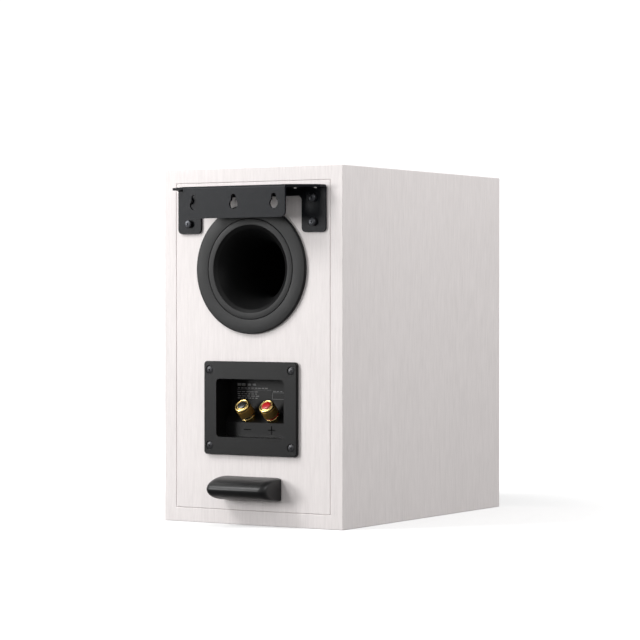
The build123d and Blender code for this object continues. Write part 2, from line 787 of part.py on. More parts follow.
def woofer_cone():
    """The paper cone, from its glued rim down to the neck."""
    rim_in = cone_radius - cone_land
    neck = former_outer + 0.1
    run = rim_in - neck

    def curve(shift):
        return Bezier((rim_in, cone_rim_y + shift),
                      (rim_in - 0.36 * run, cone_rim_y + 0.26 * cone_depth + shift),
                      (neck + 0.22 * run, cone_rim_y + 0.72 * cone_depth + shift),
                      (neck, neck_y + shift))

    rim = Polyline((rim_in, cone_rim_y), (cone_radius, cone_rim_y),
                   (cone_radius, cone_rim_y + cone_thickness),
                   (rim_in, cone_rim_y + cone_thickness))
    foot = Line((neck, neck_y), (neck, neck_y + cone_thickness))
    return turned(make_face([rim, curve(cone_thickness), foot, curve(0)]), driver_z)


def woofer_spider():
    """The corrugated cloth ring that centres the voice coil."""
    inner = former_outer + 0.1
    outer = basket_foot_radius - basket_wall - 0.5
    body = ring(inner, outer, spider_y - spider_thickness - 0.05, spider_y - 0.05, driver_z)
    waves = 4
    pitch = (outer - spider_ledge - inner - 3) / waves
    for wave in range(waves):
        middle = inner + 3 + (wave + 0.5) * pitch
        body += ring(middle - pitch / 4, middle + pitch / 4, spider_y - 2.5 * spider_thickness,
                     spider_y - spider_thickness - 0.05, driver_z)
    return body


def tweeter_waveguide():
    """The shallow horn round the dome, level with the cone's neck."""
    inner = dome_radius + dome_edge + 0.1
    return turned(polygon((inner, tweeter_front), (tweeter_radius, tweeter_front),
                          (tweeter_radius, neck_y - 1), (tweeter_radius - 0.6, neck_y - 1.4),
                          (inner, tweeter_front - 1.2)), driver_z)


def dome_shell(radius, height, thickness):
    """A thin spherical cap over y = 0, bulging towards -Y, with a flat rim."""
    sphere = (radius ** 2 + height ** 2) / (2 * height)
    cap = Pos(0, sphere - height, 0) * (Sphere(sphere) - Sphere(sphere - thickness))
    cap &= Pos(0, -height, 0) * Rot(90, 0, 0) * Cylinder(radius, 2 * height)
    return cap


save("driver_basket", driver_basket())
save("driver_gasket", driver_gasket())
save("driver_trim_ring", driver_trim_ring())
save("driver_screws", *[place * flat_screw(driver_head_radius, wood_screw_radius,
                                           wood_screw_length - 1)
                        for place in driver_screw_places()])
save("driver_terminal_strip", block((-9, 9), (basket_back - 8, basket_back - 1),
                                    (driver_z - basket_foot_radius - 7,
                                     driver_z - basket_foot_radius - 0.2)))
save("woofer_surround", woofer_surround())
save("woofer_cone", woofer_cone())
save("woofer_spider", woofer_spider())
winding_middle = (basket_back + top_plate_back) / 2
winding_y = (winding_middle - winding_length / 2, winding_middle + winding_length / 2)
save("voice_coil_former", ring(coil_radius, former_outer, neck_y - 1, winding_y[1] + 1, driver_z))
save("voice_coil_winding", ring(former_outer, former_outer + winding_thickness,
                                winding_y[0], winding_y[1], driver_z))
save("woofer_top_plate", ring(gap_outer, magnet_radius - 3, basket_back, top_plate_back, driver_z))
save("woofer_magnet", ring(magnet_bore, magnet_radius, top_plate_back, magnet_back, driver_z))
save("woofer_yoke", rod(magnet_radius - 3, magnet_back, yoke_back, z=driver_z)
     + rod(pole_radius, pole_front, magnet_back, z=driver_z)
     - rod(4, pole_front - 1, yoke_back + 1, z=driver_z))

gap_in = dome_radius - 0.4
gap_out = dome_radius + 0.9
cup_floor = pole_front - tweeter_cup_wall
save("tweeter_cup", rod(tweeter_radius, tweeter_front, pole_front, z=driver_z)
     - rod(tweeter_radius - tweeter_cup_wall, tweeter_front + 2, cup_floor, z=driver_z)
     - rod(gap_out, tweeter_front - 1, tweeter_front + 3, z=driver_z))
save("tweeter_magnet", rod(gap_in - 1, cup_floor - tweeter_magnet_height, cup_floor, z=driver_z))
save("tweeter_top_plate", rod(gap_in - 0.1, cup_floor - tweeter_magnet_height
                              - tweeter_plate_height, cup_floor - tweeter_magnet_height,
                              z=driver_z))
save("tweeter_waveguide", tweeter_waveguide())
dome_y = tweeter_front - 0.8
save("tweeter_dome", Pos(0, dome_y, driver_z) * dome_shell(dome_radius, dome_height,
                                                           dome_thickness)
     + ring(dome_radius - 0.8, dome_radius + dome_edge - 0.3, dome_y - dome_thickness, dome_y,
            driver_z))
save("tweeter_voice_coil", ring(gap_in + 0.15, gap_out - 0.3, dome_y,
                                dome_y + tweeter_coil_length, driver_z))


# ---- crossover and wiring ------------------------------------------------------------------
board_y = (front + board_setback, front + board_setback + board_length)
board_low = wrap_thickness + board_standoff
board_top = board_low + board_thickness
board_middle = (board_y[0] + board_y[1]) / 2
standoff_spots = [(i * (board_width / 2 - 6), y) for i in (-1, 1)
                  for y in (board_y[0] + 6, board_y[1] - 6)]


def upright(radius, x, y, low, high):
    """A round bar along Z."""
    return Pos(x, y, low) * extrude(Circle(radius), high - low)


def inductor(x, y, radius, height):
    """An air-cored coil that stands on the board."""
    return upright(radius, x, y, board_top, board_top + height) - upright(
        radius * 0.4, x, y, board_top - 1, board_top + height + 1)


def lying_can(x, y, radius, length):
    """A cylindrical part that lies across the board."""
    return Pos(x, y, board_top + radius + 0.2) * Rot(0, 90, 0) * Cylinder(radius, length)


save("crossover_board", block((-board_width / 2, board_width / 2), board_y,
                              (board_low, board_top)))
save("crossover_standoffs", *[upright(3, x, y, wrap_thickness + 0.05, board_low)
                              for x, y in standoff_spots])
save("crossover_inductors", inductor(-22, board_middle - 18, 13, 14),
     inductor(20, board_middle + 20, 15, 18))
save("crossover_capacitors", lying_can(16, board_middle - 25, 7, 28),
     lying_can(16, board_middle - 7, 8, 32), lying_can(-18, board_middle + 28, 6, 24))
save("crossover_resistors", *[block((-32, -8), (board_middle + shift, board_middle + shift + 7),
                                    (board_top + 0.1, board_top + 7.1)) for shift in (2, 12)])


def wire(radii, *points):
    """A round wire along straight runs joined by tangent arcs."""
    route = FilletPolyline(*points, radius=radii)
    start = Plane(origin=route @ 0, z_dir=route % 0)
    return sweep(start * Circle(wire_radius), path=route)


tilt_y, tilt_z = cos(radians(post_tilt)), sin(radians(post_tilt))
tag_reach = tag_length - 2.5
tag_depth = recess_wall + tag_thickness + wire_radius + 0.1
solder_y = post_y - tilt_z * tag_reach - tilt_y * tag_depth
solder_z = post_z + tilt_y * tag_reach - tilt_z * tag_depth
strip_y = basket_back - 4
strip_z = driver_z - basket_foot_radius - 7
for pole, side in (("positive", -1), ("negative", 1)):
    post_x = side * post_spacing / 2
    strip_x = side * 6
    board_x = side * 36
    rise = board_top + 24
    rear_wire = wire((8, 8), (post_x, solder_y, solder_z), (post_x, solder_y - 16, solder_z),
                     (board_x, board_y[1] - 8, rise), (board_x, board_y[1] - 8, board_top + 0.1))
    front_wire = wire((9, 9), (strip_x, strip_y, strip_z - 0.1),
                      (strip_x, strip_y, strip_z - 24), (board_x, board_y[0] + 14, rise),
                      (board_x, board_y[0] + 14, board_top + 0.1))
    save(f"wiring_{pole}", rear_wire, front_wire)
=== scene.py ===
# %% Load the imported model
import json
from math import atan2, cos, hypot, pi, radians, sin

import bmesh
import bpy
from mathutils import Matrix, Vector, noise
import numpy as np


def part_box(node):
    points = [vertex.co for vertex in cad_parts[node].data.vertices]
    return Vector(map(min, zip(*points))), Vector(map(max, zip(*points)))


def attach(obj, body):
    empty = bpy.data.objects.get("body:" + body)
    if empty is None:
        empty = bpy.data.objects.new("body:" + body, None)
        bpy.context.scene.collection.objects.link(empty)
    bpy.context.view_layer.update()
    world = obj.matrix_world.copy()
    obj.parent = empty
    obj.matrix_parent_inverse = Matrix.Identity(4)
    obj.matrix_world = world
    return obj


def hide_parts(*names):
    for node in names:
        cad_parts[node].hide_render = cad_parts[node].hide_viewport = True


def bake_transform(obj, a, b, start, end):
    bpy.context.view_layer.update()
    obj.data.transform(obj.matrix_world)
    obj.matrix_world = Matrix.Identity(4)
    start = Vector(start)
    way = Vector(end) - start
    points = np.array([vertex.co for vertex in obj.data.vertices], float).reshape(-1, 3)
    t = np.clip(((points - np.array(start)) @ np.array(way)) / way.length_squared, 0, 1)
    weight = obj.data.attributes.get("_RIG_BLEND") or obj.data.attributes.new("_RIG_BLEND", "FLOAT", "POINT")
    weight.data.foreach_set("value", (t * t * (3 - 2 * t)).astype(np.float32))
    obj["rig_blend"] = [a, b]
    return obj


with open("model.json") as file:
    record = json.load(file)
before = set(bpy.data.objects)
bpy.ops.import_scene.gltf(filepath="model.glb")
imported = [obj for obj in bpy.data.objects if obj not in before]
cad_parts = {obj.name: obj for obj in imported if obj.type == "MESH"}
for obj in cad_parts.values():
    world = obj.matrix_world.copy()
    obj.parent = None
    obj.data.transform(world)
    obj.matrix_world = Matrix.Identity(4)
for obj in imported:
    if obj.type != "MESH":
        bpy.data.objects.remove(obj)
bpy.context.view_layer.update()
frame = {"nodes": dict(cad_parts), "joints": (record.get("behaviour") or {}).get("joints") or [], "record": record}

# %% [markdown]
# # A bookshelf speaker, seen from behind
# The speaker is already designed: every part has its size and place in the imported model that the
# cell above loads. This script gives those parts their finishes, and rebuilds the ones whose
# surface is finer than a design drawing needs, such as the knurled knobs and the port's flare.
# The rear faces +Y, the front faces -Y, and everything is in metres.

mm = 0.001
scene = bpy.context.scene
nodes = frame["nodes"]
joints = {joint["name"]: joint for joint in frame["joints"]}

# %% [markdown]
# ## Shader maths as plain sums
# A material's pattern is arithmetic on numbers that change over the surface. Adding a Math node by
# hand for every plus sign hides that arithmetic, so a small class wraps a node's output and lets
# Python's own operators add the nodes. `1 - mask` works too, through the reflected operators.


# %% A value that can be used in sums
class Value:
    """One output of a node, with the operators that the finishes below use."""

    def __init__(self, finish, output):
        self.finish = finish
        self.output = output

    def sum_with(self, operation, first, second=0.5):
        return self.finish.node("ShaderNodeMath", {"operation": operation}, {0: first, 1: second})

    def __add__(self, other):
        return self.sum_with("ADD", self, other)

    def __sub__(self, other):
        return self.sum_with("SUBTRACT", self, other)

    def __rsub__(self, other):
        return self.sum_with("SUBTRACT", other, self)

    def __mul__(self, other):
        return self.sum_with("MULTIPLY", self, other)

    __radd__ = __add__
    __rmul__ = __mul__


# %% [markdown]
# ## Adding a node
# Materials, Geometry Nodes trees and the world are all trees of nodes, so one function adds a node
# to any of them. A node's settings come first, because some of them change which sockets it has.


# %% Adding a node
def add_node(tree, kind, settings=None, sockets=None):
    """Add a node: its settings first, then the values or links of its sockets."""
    made = tree.nodes.new(kind)
    for name, setting in (settings or {}).items():
        setattr(made, name, setting)
    for key, value in (sockets or {}).items():
        value = value.output if isinstance(value, Value) else value
        if isinstance(value, bpy.types.NodeSocket):
            tree.links.new(value, made.inputs[key])
        else:
            made.inputs[key].default_value = value
    return made


# %% [markdown]
# ## A finish
# A finish is one material under construction. Each one is filed under the name of its slot, so that
# a part can ask for it later. What is the same all over a surface is set on the shader's own
# sockets, and only what varies over the surface is fed in from nodes.


# %% A finish: one material, made of nodes
finishes = {}


class Finish:
    """A material under construction. Uniform values are set on the shader's own sockets."""

    def __init__(self, name, **uniform):
        self.material = bpy.data.materials.new(name)
        finishes[name] = self.material
        self.material.use_nodes = True
        self.tree = self.material.node_tree
        self.tree.nodes.clear()
        self.shader = self.tree.nodes.new("ShaderNodeBsdfPrincipled")
        output = self.tree.nodes.new("ShaderNodeOutputMaterial")
        self.tree.links.new(self.shader.outputs[0], output.inputs[0])
        for socket, value in uniform.items():
            self.shader.inputs[socket.replace("_", " ")].default_value = value

    def node(self, kind, settings=None, sockets=None, output=0):
        """Add a node, and return one of its outputs as a value."""
        made = add_node(self.tree, kind, settings, sockets)
        return Value(self, made.outputs[output])

    def place(self, scale=(1, 1, 1)):
        """The point on the object, stretched for a pattern."""
        point = self.node("ShaderNodeTexCoord", output=3)
        return self.node("ShaderNodeMapping", {"vector_type": "POINT"},
                         {"Vector": point, "Scale": scale})

    def noise(self, scale, detail=2.0, stretch=(1, 1, 1), rough=0.5):
        """Soft random patches, with scale as how many there are in a metre."""
        return self.node("ShaderNodeTexNoise", {"noise_dimensions": "3D"},
                         {"Vector": self.place(stretch), "Scale": scale, "Detail": detail,
                          "Roughness": rough})

    def between(self, factor, low, high):
        """A colour that goes from low to high with factor."""
        return self.node("ShaderNodeMix", {"data_type": "RGBA"},
                         {0: factor, 6: (*low, 1), 7: (*high, 1)}, output=2)

    def spread(self, value, low, high):
        """A value from 0 to 1, brought to between low and high."""
        return value * (high - low) + low

    def feed(self, socket, value):
        self.tree.links.new(value.output, self.shader.inputs[socket])

    def bump(self, height, distance, strength=1.0):
        """Raise the surface by height times distance, as light sees it."""
        normal = self.node("ShaderNodeBump", None,
                           {"Height": height, "Distance": distance, "Strength": strength})
        self.feed("Normal", normal)


# %% [markdown]
# ## White vinyl
# The cabinet is fibreboard wrapped in a satin white vinyl. The sheet has a very fine upright
# grain: thin threads, each a little lighter or darker than the next, with broader streaks and large
# faint patches under them. Noise that is stretched along Z makes the threads and the streaks,
# because they have no regular spacing, and the same threads change the roughness and the height.


# %% White vinyl
def white_vinyl(name, light, dark):
    finish = Finish(name, Specular_IOR_Level=0.35)
    threads = finish.noise(620.0, detail=3.0, stretch=(1.0, 1.0, 0.09), rough=0.65)
    streaks = finish.noise(210.0, detail=2.0, stretch=(1.0, 1.0, 0.12))
    patches = finish.noise(26.0, detail=2.0)
    tone = threads * 1.5 + streaks * 0.6 + patches * 0.3 - 0.7
    finish.feed("Base Color", finish.between(tone, dark, light))
    finish.feed("Roughness", finish.spread(threads, 0.42, 0.56))
    finish.bump(threads, 0.00006)


white_vinyl("vinyl_white", light=(0.92, 0.868, 0.858), dark=(0.80, 0.752, 0.742))
print(f"finishes so far: {len(finishes)}")

# %% [markdown]
# ## Moulded plastics and rubber
# Black plastic parts come out of a mould whose walls were eroded to a fine even grain, so they look
# dark grey with a soft broad sheen. One function makes them all: the colour, how rough the surface
# is, and how coarse the grain is.


# %% Moulded plastics and rubber
def shades(colour, darker, lighter):
    """A darker and a lighter shade of a colour, each by its share."""
    return ([c * (1 - darker) for c in colour], [min(1.0, c * (1 + lighter)) for c in colour])


def moulded(name, colour, rough, grain=2200.0, depth=0.00003, variation=0.25, **uniform):
    """A mottled finish with a fine grain, where grain is how many grains there are in a metre."""
    finish = Finish(name, **uniform)
    speckle = finish.noise(grain, detail=2.0)
    cloud = finish.noise(grain * 0.02, detail=3.0)
    mottle = speckle * 0.5 + cloud * 0.5
    finish.feed("Base Color", finish.between(mottle, *shades(colour, variation, variation)))
    finish.feed("Roughness", finish.spread(mottle, rough - 0.07, rough + 0.07))
    finish.bump(speckle, depth)


moulded("port_plastic", (0.0062, 0.0063, 0.0065), 0.40, Specular_IOR_Level=0.24)
moulded("plate_plastic", (0.0055, 0.0055, 0.0057), 0.38, grain=1800.0, Specular_IOR_Level=0.22)
moulded("trim_ring", (0.022, 0.023, 0.025), 0.36)
moulded("spacer_rubber", (0.006, 0.0062, 0.0066), 0.37, grain=1500.0, Specular_IOR_Level=0.40)
moulded("surround_rubber", (0.014, 0.014, 0.015), 0.44)
moulded("foam_seal", (0.02, 0.02, 0.02), 0.9, grain=1200.0, depth=0.0001)
moulded("adhesive", (0.10, 0.10, 0.10), 0.8, grain=1000.0, depth=0.0001)
moulded("wire_red", (0.45, 0.02, 0.02), 0.4, variation=0.1)
moulded("wire_black", (0.02, 0.02, 0.02), 0.4)
moulded("nylon", (0.75, 0.74, 0.70), 0.45, variation=0.06)
moulded("cement", (0.72, 0.71, 0.66), 0.85, grain=900.0, depth=0.00008, variation=0.08)
moulded("film_can", (0.70, 0.42, 0.05), 0.22, grain=300.0, depth=0.00001, variation=0.08,
        Coat_Weight=0.4)
moulded("circuit_board", (0.03, 0.14, 0.06), 0.35, grain=700.0, variation=0.2, Coat_Weight=0.3)
moulded("red_plastic", (0.50, 0.008, 0.012), 0.24, grain=900.0, depth=0.000008, variation=0.1,
        Coat_Weight=0.3)
moulded("black_plastic", (0.010, 0.010, 0.011), 0.26, grain=900.0, depth=0.000008, Coat_Weight=0.3)
moulded("cone_paper", (0.085, 0.088, 0.094), 0.42, grain=650.0, depth=0.00005, variation=0.12)
print(f"finishes so far: {len(finishes)}")

# %% [markdown]
# ## Powder coat
# The bracket is bent steel sprayed with powder that melts into a skin. The skin flows a little
# before it sets, which leaves shallow waves about a millimetre apart, known as orange peel.


# %% Powder coat
def powder_coat(name, colour, rough, metallic=0.0):
    finish = Finish(name, Metallic=metallic, Specular_IOR_Level=0.13)
    peel = finish.noise(900.0, detail=1.0)
    dust = finish.noise(4200.0, detail=1.0)
    finish.feed("Base Color", finish.between(dust, *shades(colour, 0.18, 0.20)))
    finish.feed("Roughness", finish.spread(peel, rough - 0.06, rough + 0.06))
    finish.bump(peel * 0.7 + dust * 0.3, 0.00004)


powder_coat("powder_coat", (0.0058, 0.0068, 0.0092), 0.38)
powder_coat("bracket_screw", (0.085, 0.088, 0.096), 0.34, 0.8)
powder_coat("black_screw", (0.050, 0.050, 0.053), 0.34, 0.7)
powder_coat("cast_frame", (0.03, 0.03, 0.032), 0.5)
print(f"finishes so far: {len(finishes)}")

# %% [markdown]
# ## Metals
# Metals have no colour under their shine: the shine itself is coloured. Turned parts keep fine
# marks from the lathe, so their roughness and height vary in a very fine noise. Gold plating is
# polished on a knob's bead and dull on its knurled barrel. Both are one material, which reads a
# number that every point of the mesh carries: the attribute "barrel", 1 there and 0 elsewhere.


# %% Metals
def metal(name, colour, rough, grain=1600.0, depth=0.000006, tint=0.10):
    finish = Finish(name, Metallic=1.0)
    scratch = finish.noise(grain, detail=3.0)
    cloud = finish.noise(grain * 0.05, detail=2.0)
    finish.feed("Base Color", finish.between(cloud, *shades(colour, tint, tint / 2)))
    finish.feed("Roughness", finish.spread(scratch, rough * 0.7, rough * 1.3))
    finish.bump(scratch, depth)


def gold(name, bright, dull):
    """Polished plating on beads and rims, and dull plating on a knurled barrel."""
    finish = Finish(name, Metallic=1.0)
    barrel = finish.node("ShaderNodeAttribute", {"attribute_name": "barrel"}, output=2)
    cloud = finish.noise(90.0, detail=2.0)
    scratch = finish.noise(1600.0, detail=3.0)
    finish.feed("Base Color", finish.between(barrel * 0.85 + cloud * 0.15, bright, dull))
    finish.feed("Roughness", barrel * 0.30 + finish.spread(scratch, 0.15, 0.27))
    finish.bump(scratch, 0.000006)


gold("gold_plate", (0.84, 0.61, 0.24), (0.68, 0.48, 0.17))
metal("brass_insert", (0.70, 0.50, 0.20), 0.30)
metal("tinned", (0.72, 0.71, 0.68), 0.32)
metal("steel", (0.55, 0.55, 0.57), 0.34)
metal("ferrite", (0.09, 0.09, 0.10), 0.55, depth=0.00002)
metal("former", (0.76, 0.76, 0.78), 0.28)
metal("copper", (0.78, 0.34, 0.14), 0.26)
metal("dome", (0.62, 0.62, 0.65), 0.24)
print(f"finishes so far: {len(finishes)}")

# %% [markdown]
# ## Cloth and wood inside the cabinet
# The spider is a woven cloth stiffened with resin, the wadding is loose polyester, and the brace is
# bare fibreboard. None of them is seen from outside, but each gets its own simple pattern.


# %% Cloth and wood
def woven(name, low, high, pitch):
    finish = Finish(name, Sheen_Weight=0.2)
    x = finish.node("ShaderNodeTexWave", {"wave_type": "BANDS", "bands_direction": "X"},
                    {"Vector": finish.place(), "Scale": pitch, "Distortion": 0.3}, output=1)
    z = finish.node("ShaderNodeTexWave", {"wave_type": "BANDS", "bands_direction": "Z"},
                    {"Vector": finish.place(), "Scale": pitch, "Distortion": 0.3}, output=1)
    weave = x * 0.5 + z * 0.5
    finish.feed("Base Color", finish.between(weave, low, high))
    finish.feed("Roughness", finish.spread(weave, 0.7, 0.9))
    finish.bump(weave, 0.0001)


woven("spider_cloth", (0.42, 0.30, 0.12), (0.60, 0.46, 0.22), 280.0)
moulded("wadding", (0.78, 0.78, 0.76), 0.95, grain=380.0, depth=0.0008, variation=0.06,
        Sheen_Weight=0.4)
moulded("fibreboard", (0.42, 0.28, 0.16), 0.8, grain=600.0, depth=0.00005, variation=0.15)
print(f"{len(finishes)} finishes")

# %% [markdown]
# ## Dress every part
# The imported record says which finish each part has. A part keeps its own mesh here: only its
# material slot changes.

# %% Dress every part
def wear(piece, look):
    """Give a piece one material."""
    piece.data.materials.clear()
    piece.data.materials.append(finishes[look])


slot_of = {part["node"]: part["material_slot"] for part in frame["record"]["subparts"]}
for name, node in nodes.items():
    wear(node, slot_of[name])
body_of_node = {name: body for body, members in frame["record"]["behaviour"]["bodies"].items()
                for name in members}
print(f"dressed {len(slot_of)} parts")

# %% [markdown]
# ## Helpers that make a piece
# A finished piece always sits at the origin with its place in its vertices, rides on the body that
# carries it, and hides the parts that it stands for. Most pieces look as their slot says; the few
# that are painted on top of another part name a look of their own.


# %% Helpers that make a piece
def finish_piece(piece, slot, body, *stands_for, look=None):
    """Give a finished piece its material and body, and hide the parts that it stands for."""
    wear(piece, look or slot)
    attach(piece, body)
    if stands_for:
        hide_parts(*stands_for)
    return piece


def new_piece(name, mesh):
    piece = bpy.data.objects.new(name, mesh)
    scene.collection.objects.link(piece)
    return piece


def mesh_from(name, form):
    """A mesh from a bmesh, with its faces turned outwards and soft shading under 35 degrees."""
    bmesh.ops.remove_doubles(form, verts=form.verts, dist=1e-7)
    bmesh.ops.recalc_face_normals(form, faces=form.faces)
    mesh = bpy.data.meshes.new(name)
    form.to_mesh(mesh)
    form.free()
    mesh.shade_smooth()
    mesh.set_sharp_from_angle(angle=radians(35))
    return mesh


def applied(piece):
    """The piece with its modifiers worked into a plain mesh."""
    evaluated = piece.evaluated_get(bpy.context.evaluated_depsgraph_get())
    mesh = bpy.data.meshes.new_from_object(evaluated)
    piece.modifiers.clear()
    piece.data = mesh
    return piece


# %% [markdown]
# ## The camera
# A long lens from a little over two metres away, behind the speaker and to one side, with the
# optical axis almost level. It is set now, so that every later step can be looked at from the same
# place.

# %% The camera
view_azimuth = radians(211.99)
view_elevation = radians(0.52)
view_distance = 2.2093
view_target = Vector((18.4 * mm, 0, 172.15 * mm))
lens_mm = 138.8

back = Vector((sin(view_azimuth) * cos(view_elevation), -cos(view_azimuth) * cos(view_elevation),
               sin(view_elevation)))
camera = bpy.data.objects.new("camera", bpy.data.cameras.new("camera"))
scene.collection.objects.link(camera)
camera.data.sensor_width = 36.0
camera.data.lens = lens_mm
camera.location = view_target + back * view_distance
camera.rotation_mode = "QUATERNION"
camera.rotation_quaternion = (-back).to_track_quat("-Z", "Y")
camera.data.clip_start = 0.05
camera.data.clip_end = 200.0
scene.camera = camera
print(f"the camera stands at {[round(c, 3) for c in camera.location]}")

# %% [markdown]
# ## Soft edges
# Light catches the edges of moulded and folded parts, because no real edge is perfectly sharp. The
# Bevel modifier rounds them. Weighted normals then let each large flat face keep its own direction,
# so that it still looks flat and only the narrow rounding shades softly.


# %% Soft edges
def bevelled(piece, width, segments=3, angle=30):
    """Round every edge that turns by more than an angle, and keep the flat faces looking flat."""
    modifier = piece.modifiers.new("bevel", "BEVEL")
    modifier.width = width
    modifier.segments = segments
    modifier.limit_method = "ANGLE"
    modifier.angle_limit = radians(angle)
    modifier.use_clamp_overlap = True
    applied(piece)
    return flat_faces_first(piece)


def flat_faces_first(piece, sharp=50):
    """Smooth shading in which a large flat face keeps its own normal."""
    piece.data.shade_smooth()
    piece.data.set_sharp_from_angle(angle=radians(sharp))
    modifier = piece.modifiers.new("normals", "WEIGHTED_NORMAL")
    modifier.mode = "FACE_AREA"
    modifier.weight = 100
    modifier.keep_sharp = True
    return applied(piece)


# %% [markdown]
# ## The wrapped cabinet
# The top, bottom and sides are one sheet of wrapped board, folded at V-shaped grooves. The vinyl
# runs round the corners without a seam, and the folds are a little soft. A square tube with
# rounded edges shows that, where four separate boards would show four mitres.

# %% The wrapped cabinet
top_low, top_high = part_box("cabinet_top")
bottom_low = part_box("cabinet_bottom")[0]
wrap_wall = top_high[2] - top_low[2]
fold_radius = 0.55 * mm


def square_tube(name, low, high, wall):
    """A tube along Y with a rectangular section, open at both ends."""
    outer = [(low[0], low[2]), (high[0], low[2]), (high[0], high[2]), (low[0], high[2])]
    inner = [(low[0] + wall, low[2] + wall), (high[0] - wall, low[2] + wall),
             (high[0] - wall, high[2] - wall), (low[0] + wall, high[2] - wall)]
    form = bmesh.new()
    loops = [[form.verts.new((x, y, z)) for x, z in outline]
             for outline in (outer, inner) for y in (low[1], high[1])]
    for first, second in ((0, 1), (1, 3), (3, 2), (2, 0)):
        for i in range(4):
            j = (i + 1) % 4
            form.faces.new((loops[first][i], loops[first][j], loops[second][j],
                            loops[second][i]))
    return new_piece(name, mesh_from(name, form))


wrap = square_tube("cabinet_wrap", bottom_low, top_high, wrap_wall)
bevelled(wrap, fold_radius, 4)
finish_piece(wrap, "vinyl_white", "cabinet", "cabinet_top", "cabinet_bottom", "cabinet_left",
             "cabinet_right")
print(f"cabinet wrap: {len(wrap.data.polygons)} faces, {wrap_wall / mm:.0f} mm thick")

# %% [markdown]
# ## A lathe
# A part that is turned on a lathe is an outline spun round an axis. The outline is a list of radius
# and height, built from straight runs, arcs and smooth curves. The Spin operator could turn it too,
# but placing the points here lets a pole close to a single point and keeps every face in order.


# %% A lathe
def along_y(x, z):
    """The placing of something turned about an axis along Y."""
    return Matrix.Translation((x, 0, z)) @ Matrix.Rotation(-pi / 2, 4, "X")


def spin(form, outline, turns, placing, closed=True):
    """Add an outline in (radius, height), spun round the local Z axis, to a bmesh."""
    rings = []
    for radius, height in outline:
        if radius < 1e-9:
            rings.append([form.verts.new(placing @ Vector((0, 0, height)))])
            continue
        rings.append([form.verts.new(placing @ Vector((
            radius * cos(2 * pi * i / turns), radius * sin(2 * pi * i / turns), height)))
            for i in range(turns)])
    pairs = list(zip(rings, rings[1:] + rings[:1] if closed else rings[1:]))
    for low, high in pairs:
        for i in range(turns):
            j = (i + 1) % turns
            corners = [low[i % len(low)], low[j % len(low)], high[j % len(high)],
                       high[i % len(high)]]
            corners = list(dict.fromkeys(corners))
            if len(corners) > 2:
                form.faces.new(corners)


def lathe(name, outline, placing, turns=128):
    """A piece turned from a closed outline."""
    form = bmesh.new()
    spin(form, outline, turns, placing)
    return new_piece(name, mesh_from(name, form))


def arc(centre, radius, start, end, steps=6):
    """Points on an arc, with angles in degrees from the outline's first axis."""
    points = []
    for i in range(steps + 1):
        angle = radians(start + (end - start) * i / steps)
        points.append((centre[0] + radius * cos(angle), centre[1] + radius * sin(angle)))
    return points


def bezier(start, first, second, end, steps=24):
    """Points on a smooth curve with two handles."""
    points = []
    for i in range(steps + 1):
        t = i / steps
        weights = ((1 - t) ** 3, 3 * t * (1 - t) ** 2, 3 * t * t * (1 - t), t ** 3)
        points.append(tuple(sum(w * p[k] for w, p in zip(weights, (start, first, second, end)))
                            for k in (0, 1)))
    return points


# %% [markdown]
# ## The port
# The port is a moulded tube that opens like a trumpet, so that air leaves it quietly. Its flange is
# covered by a flat ring, and a hairline shows where ring and tube meet. Both are turned shapes, so
# each is one outline spun round the port's axis, with small arcs where the mould has soft edges.

# %% The port
ring_low, ring_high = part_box("port_trim_ring")
tube_inner_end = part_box("port_tube")[0][1]
port_axis = along_y((ring_low[0] + ring_high[0]) / 2, (ring_low[2] + ring_high[2]) / 2)
ring_radius = (ring_high[0] - ring_low[0]) / 2
rear_y, port_face = ring_low[1], ring_high[1]
groove_radius, groove_gap = 42.6 * mm, 0.2 * mm
lip_radius, mouth_radius, throat_radius = 36.9 * mm, 34.6 * mm, 23.0 * mm
tube_wall, lip_depth, flare_run = 2.5 * mm, 1.6 * mm, 40.0 * mm
flange_radius, flange_high = 52.2 * mm, rear_y + 1.2 * mm
flange_gap, port_turns = 0.05 * mm, 192


def flare(mouth, throat, y_mouth, y_throat):
    """The trumpet curve, from the mouth in to the throat."""
    run, rise = y_mouth - y_throat, mouth - throat
    return bezier((mouth, y_mouth), (throat + rise * 0.3, y_mouth - run * 0.28),
                  (throat, y_mouth - run * 0.6), (throat, y_throat), 40)


lip_y = port_face - lip_depth
throat_y = lip_y - flare_run
boss_radius = groove_radius - groove_gap / 2
lip_edge, boss_edge = 0.7 * mm, 0.35 * mm
tube_outline = (
    arc((boss_radius - boss_edge, port_face - boss_edge), boss_edge, 0, 90)
    + arc((lip_radius + lip_edge, port_face - lip_edge), lip_edge, 90, 150)
    + flare(mouth_radius, throat_radius, lip_y, throat_y)
    + [(throat_radius, tube_inner_end), (throat_radius + tube_wall, tube_inner_end)]
    + flare(lip_radius + tube_wall, throat_radius + tube_wall, rear_y, throat_y)[::-1]
    + [(flange_radius, rear_y), (flange_radius, flange_high), (boss_radius, flange_high)])
port = lathe("port", tube_outline, port_axis, port_turns)
finish_piece(port, "port_plastic", "cabinet", "port_tube")

ring_edge = 0.8 * mm
ring_inner = groove_radius + groove_gap / 2
ring_outline = (
    [(flange_radius + flange_gap, rear_y), (ring_radius, rear_y)]
    + arc((ring_radius - ring_edge, port_face - ring_edge), ring_edge, 0, 90)
    + arc((ring_inner + boss_edge, port_face - boss_edge), boss_edge, 90, 180)
    + [(ring_inner, flange_high + flange_gap),
       (flange_radius + flange_gap, flange_high + flange_gap)])
trim = lathe("port_ring", ring_outline, port_axis, port_turns)
finish_piece(trim, "port_plastic", "cabinet", "port_trim_ring")
print(f"port ring: {2 * ring_radius / mm:.1f} mm across")

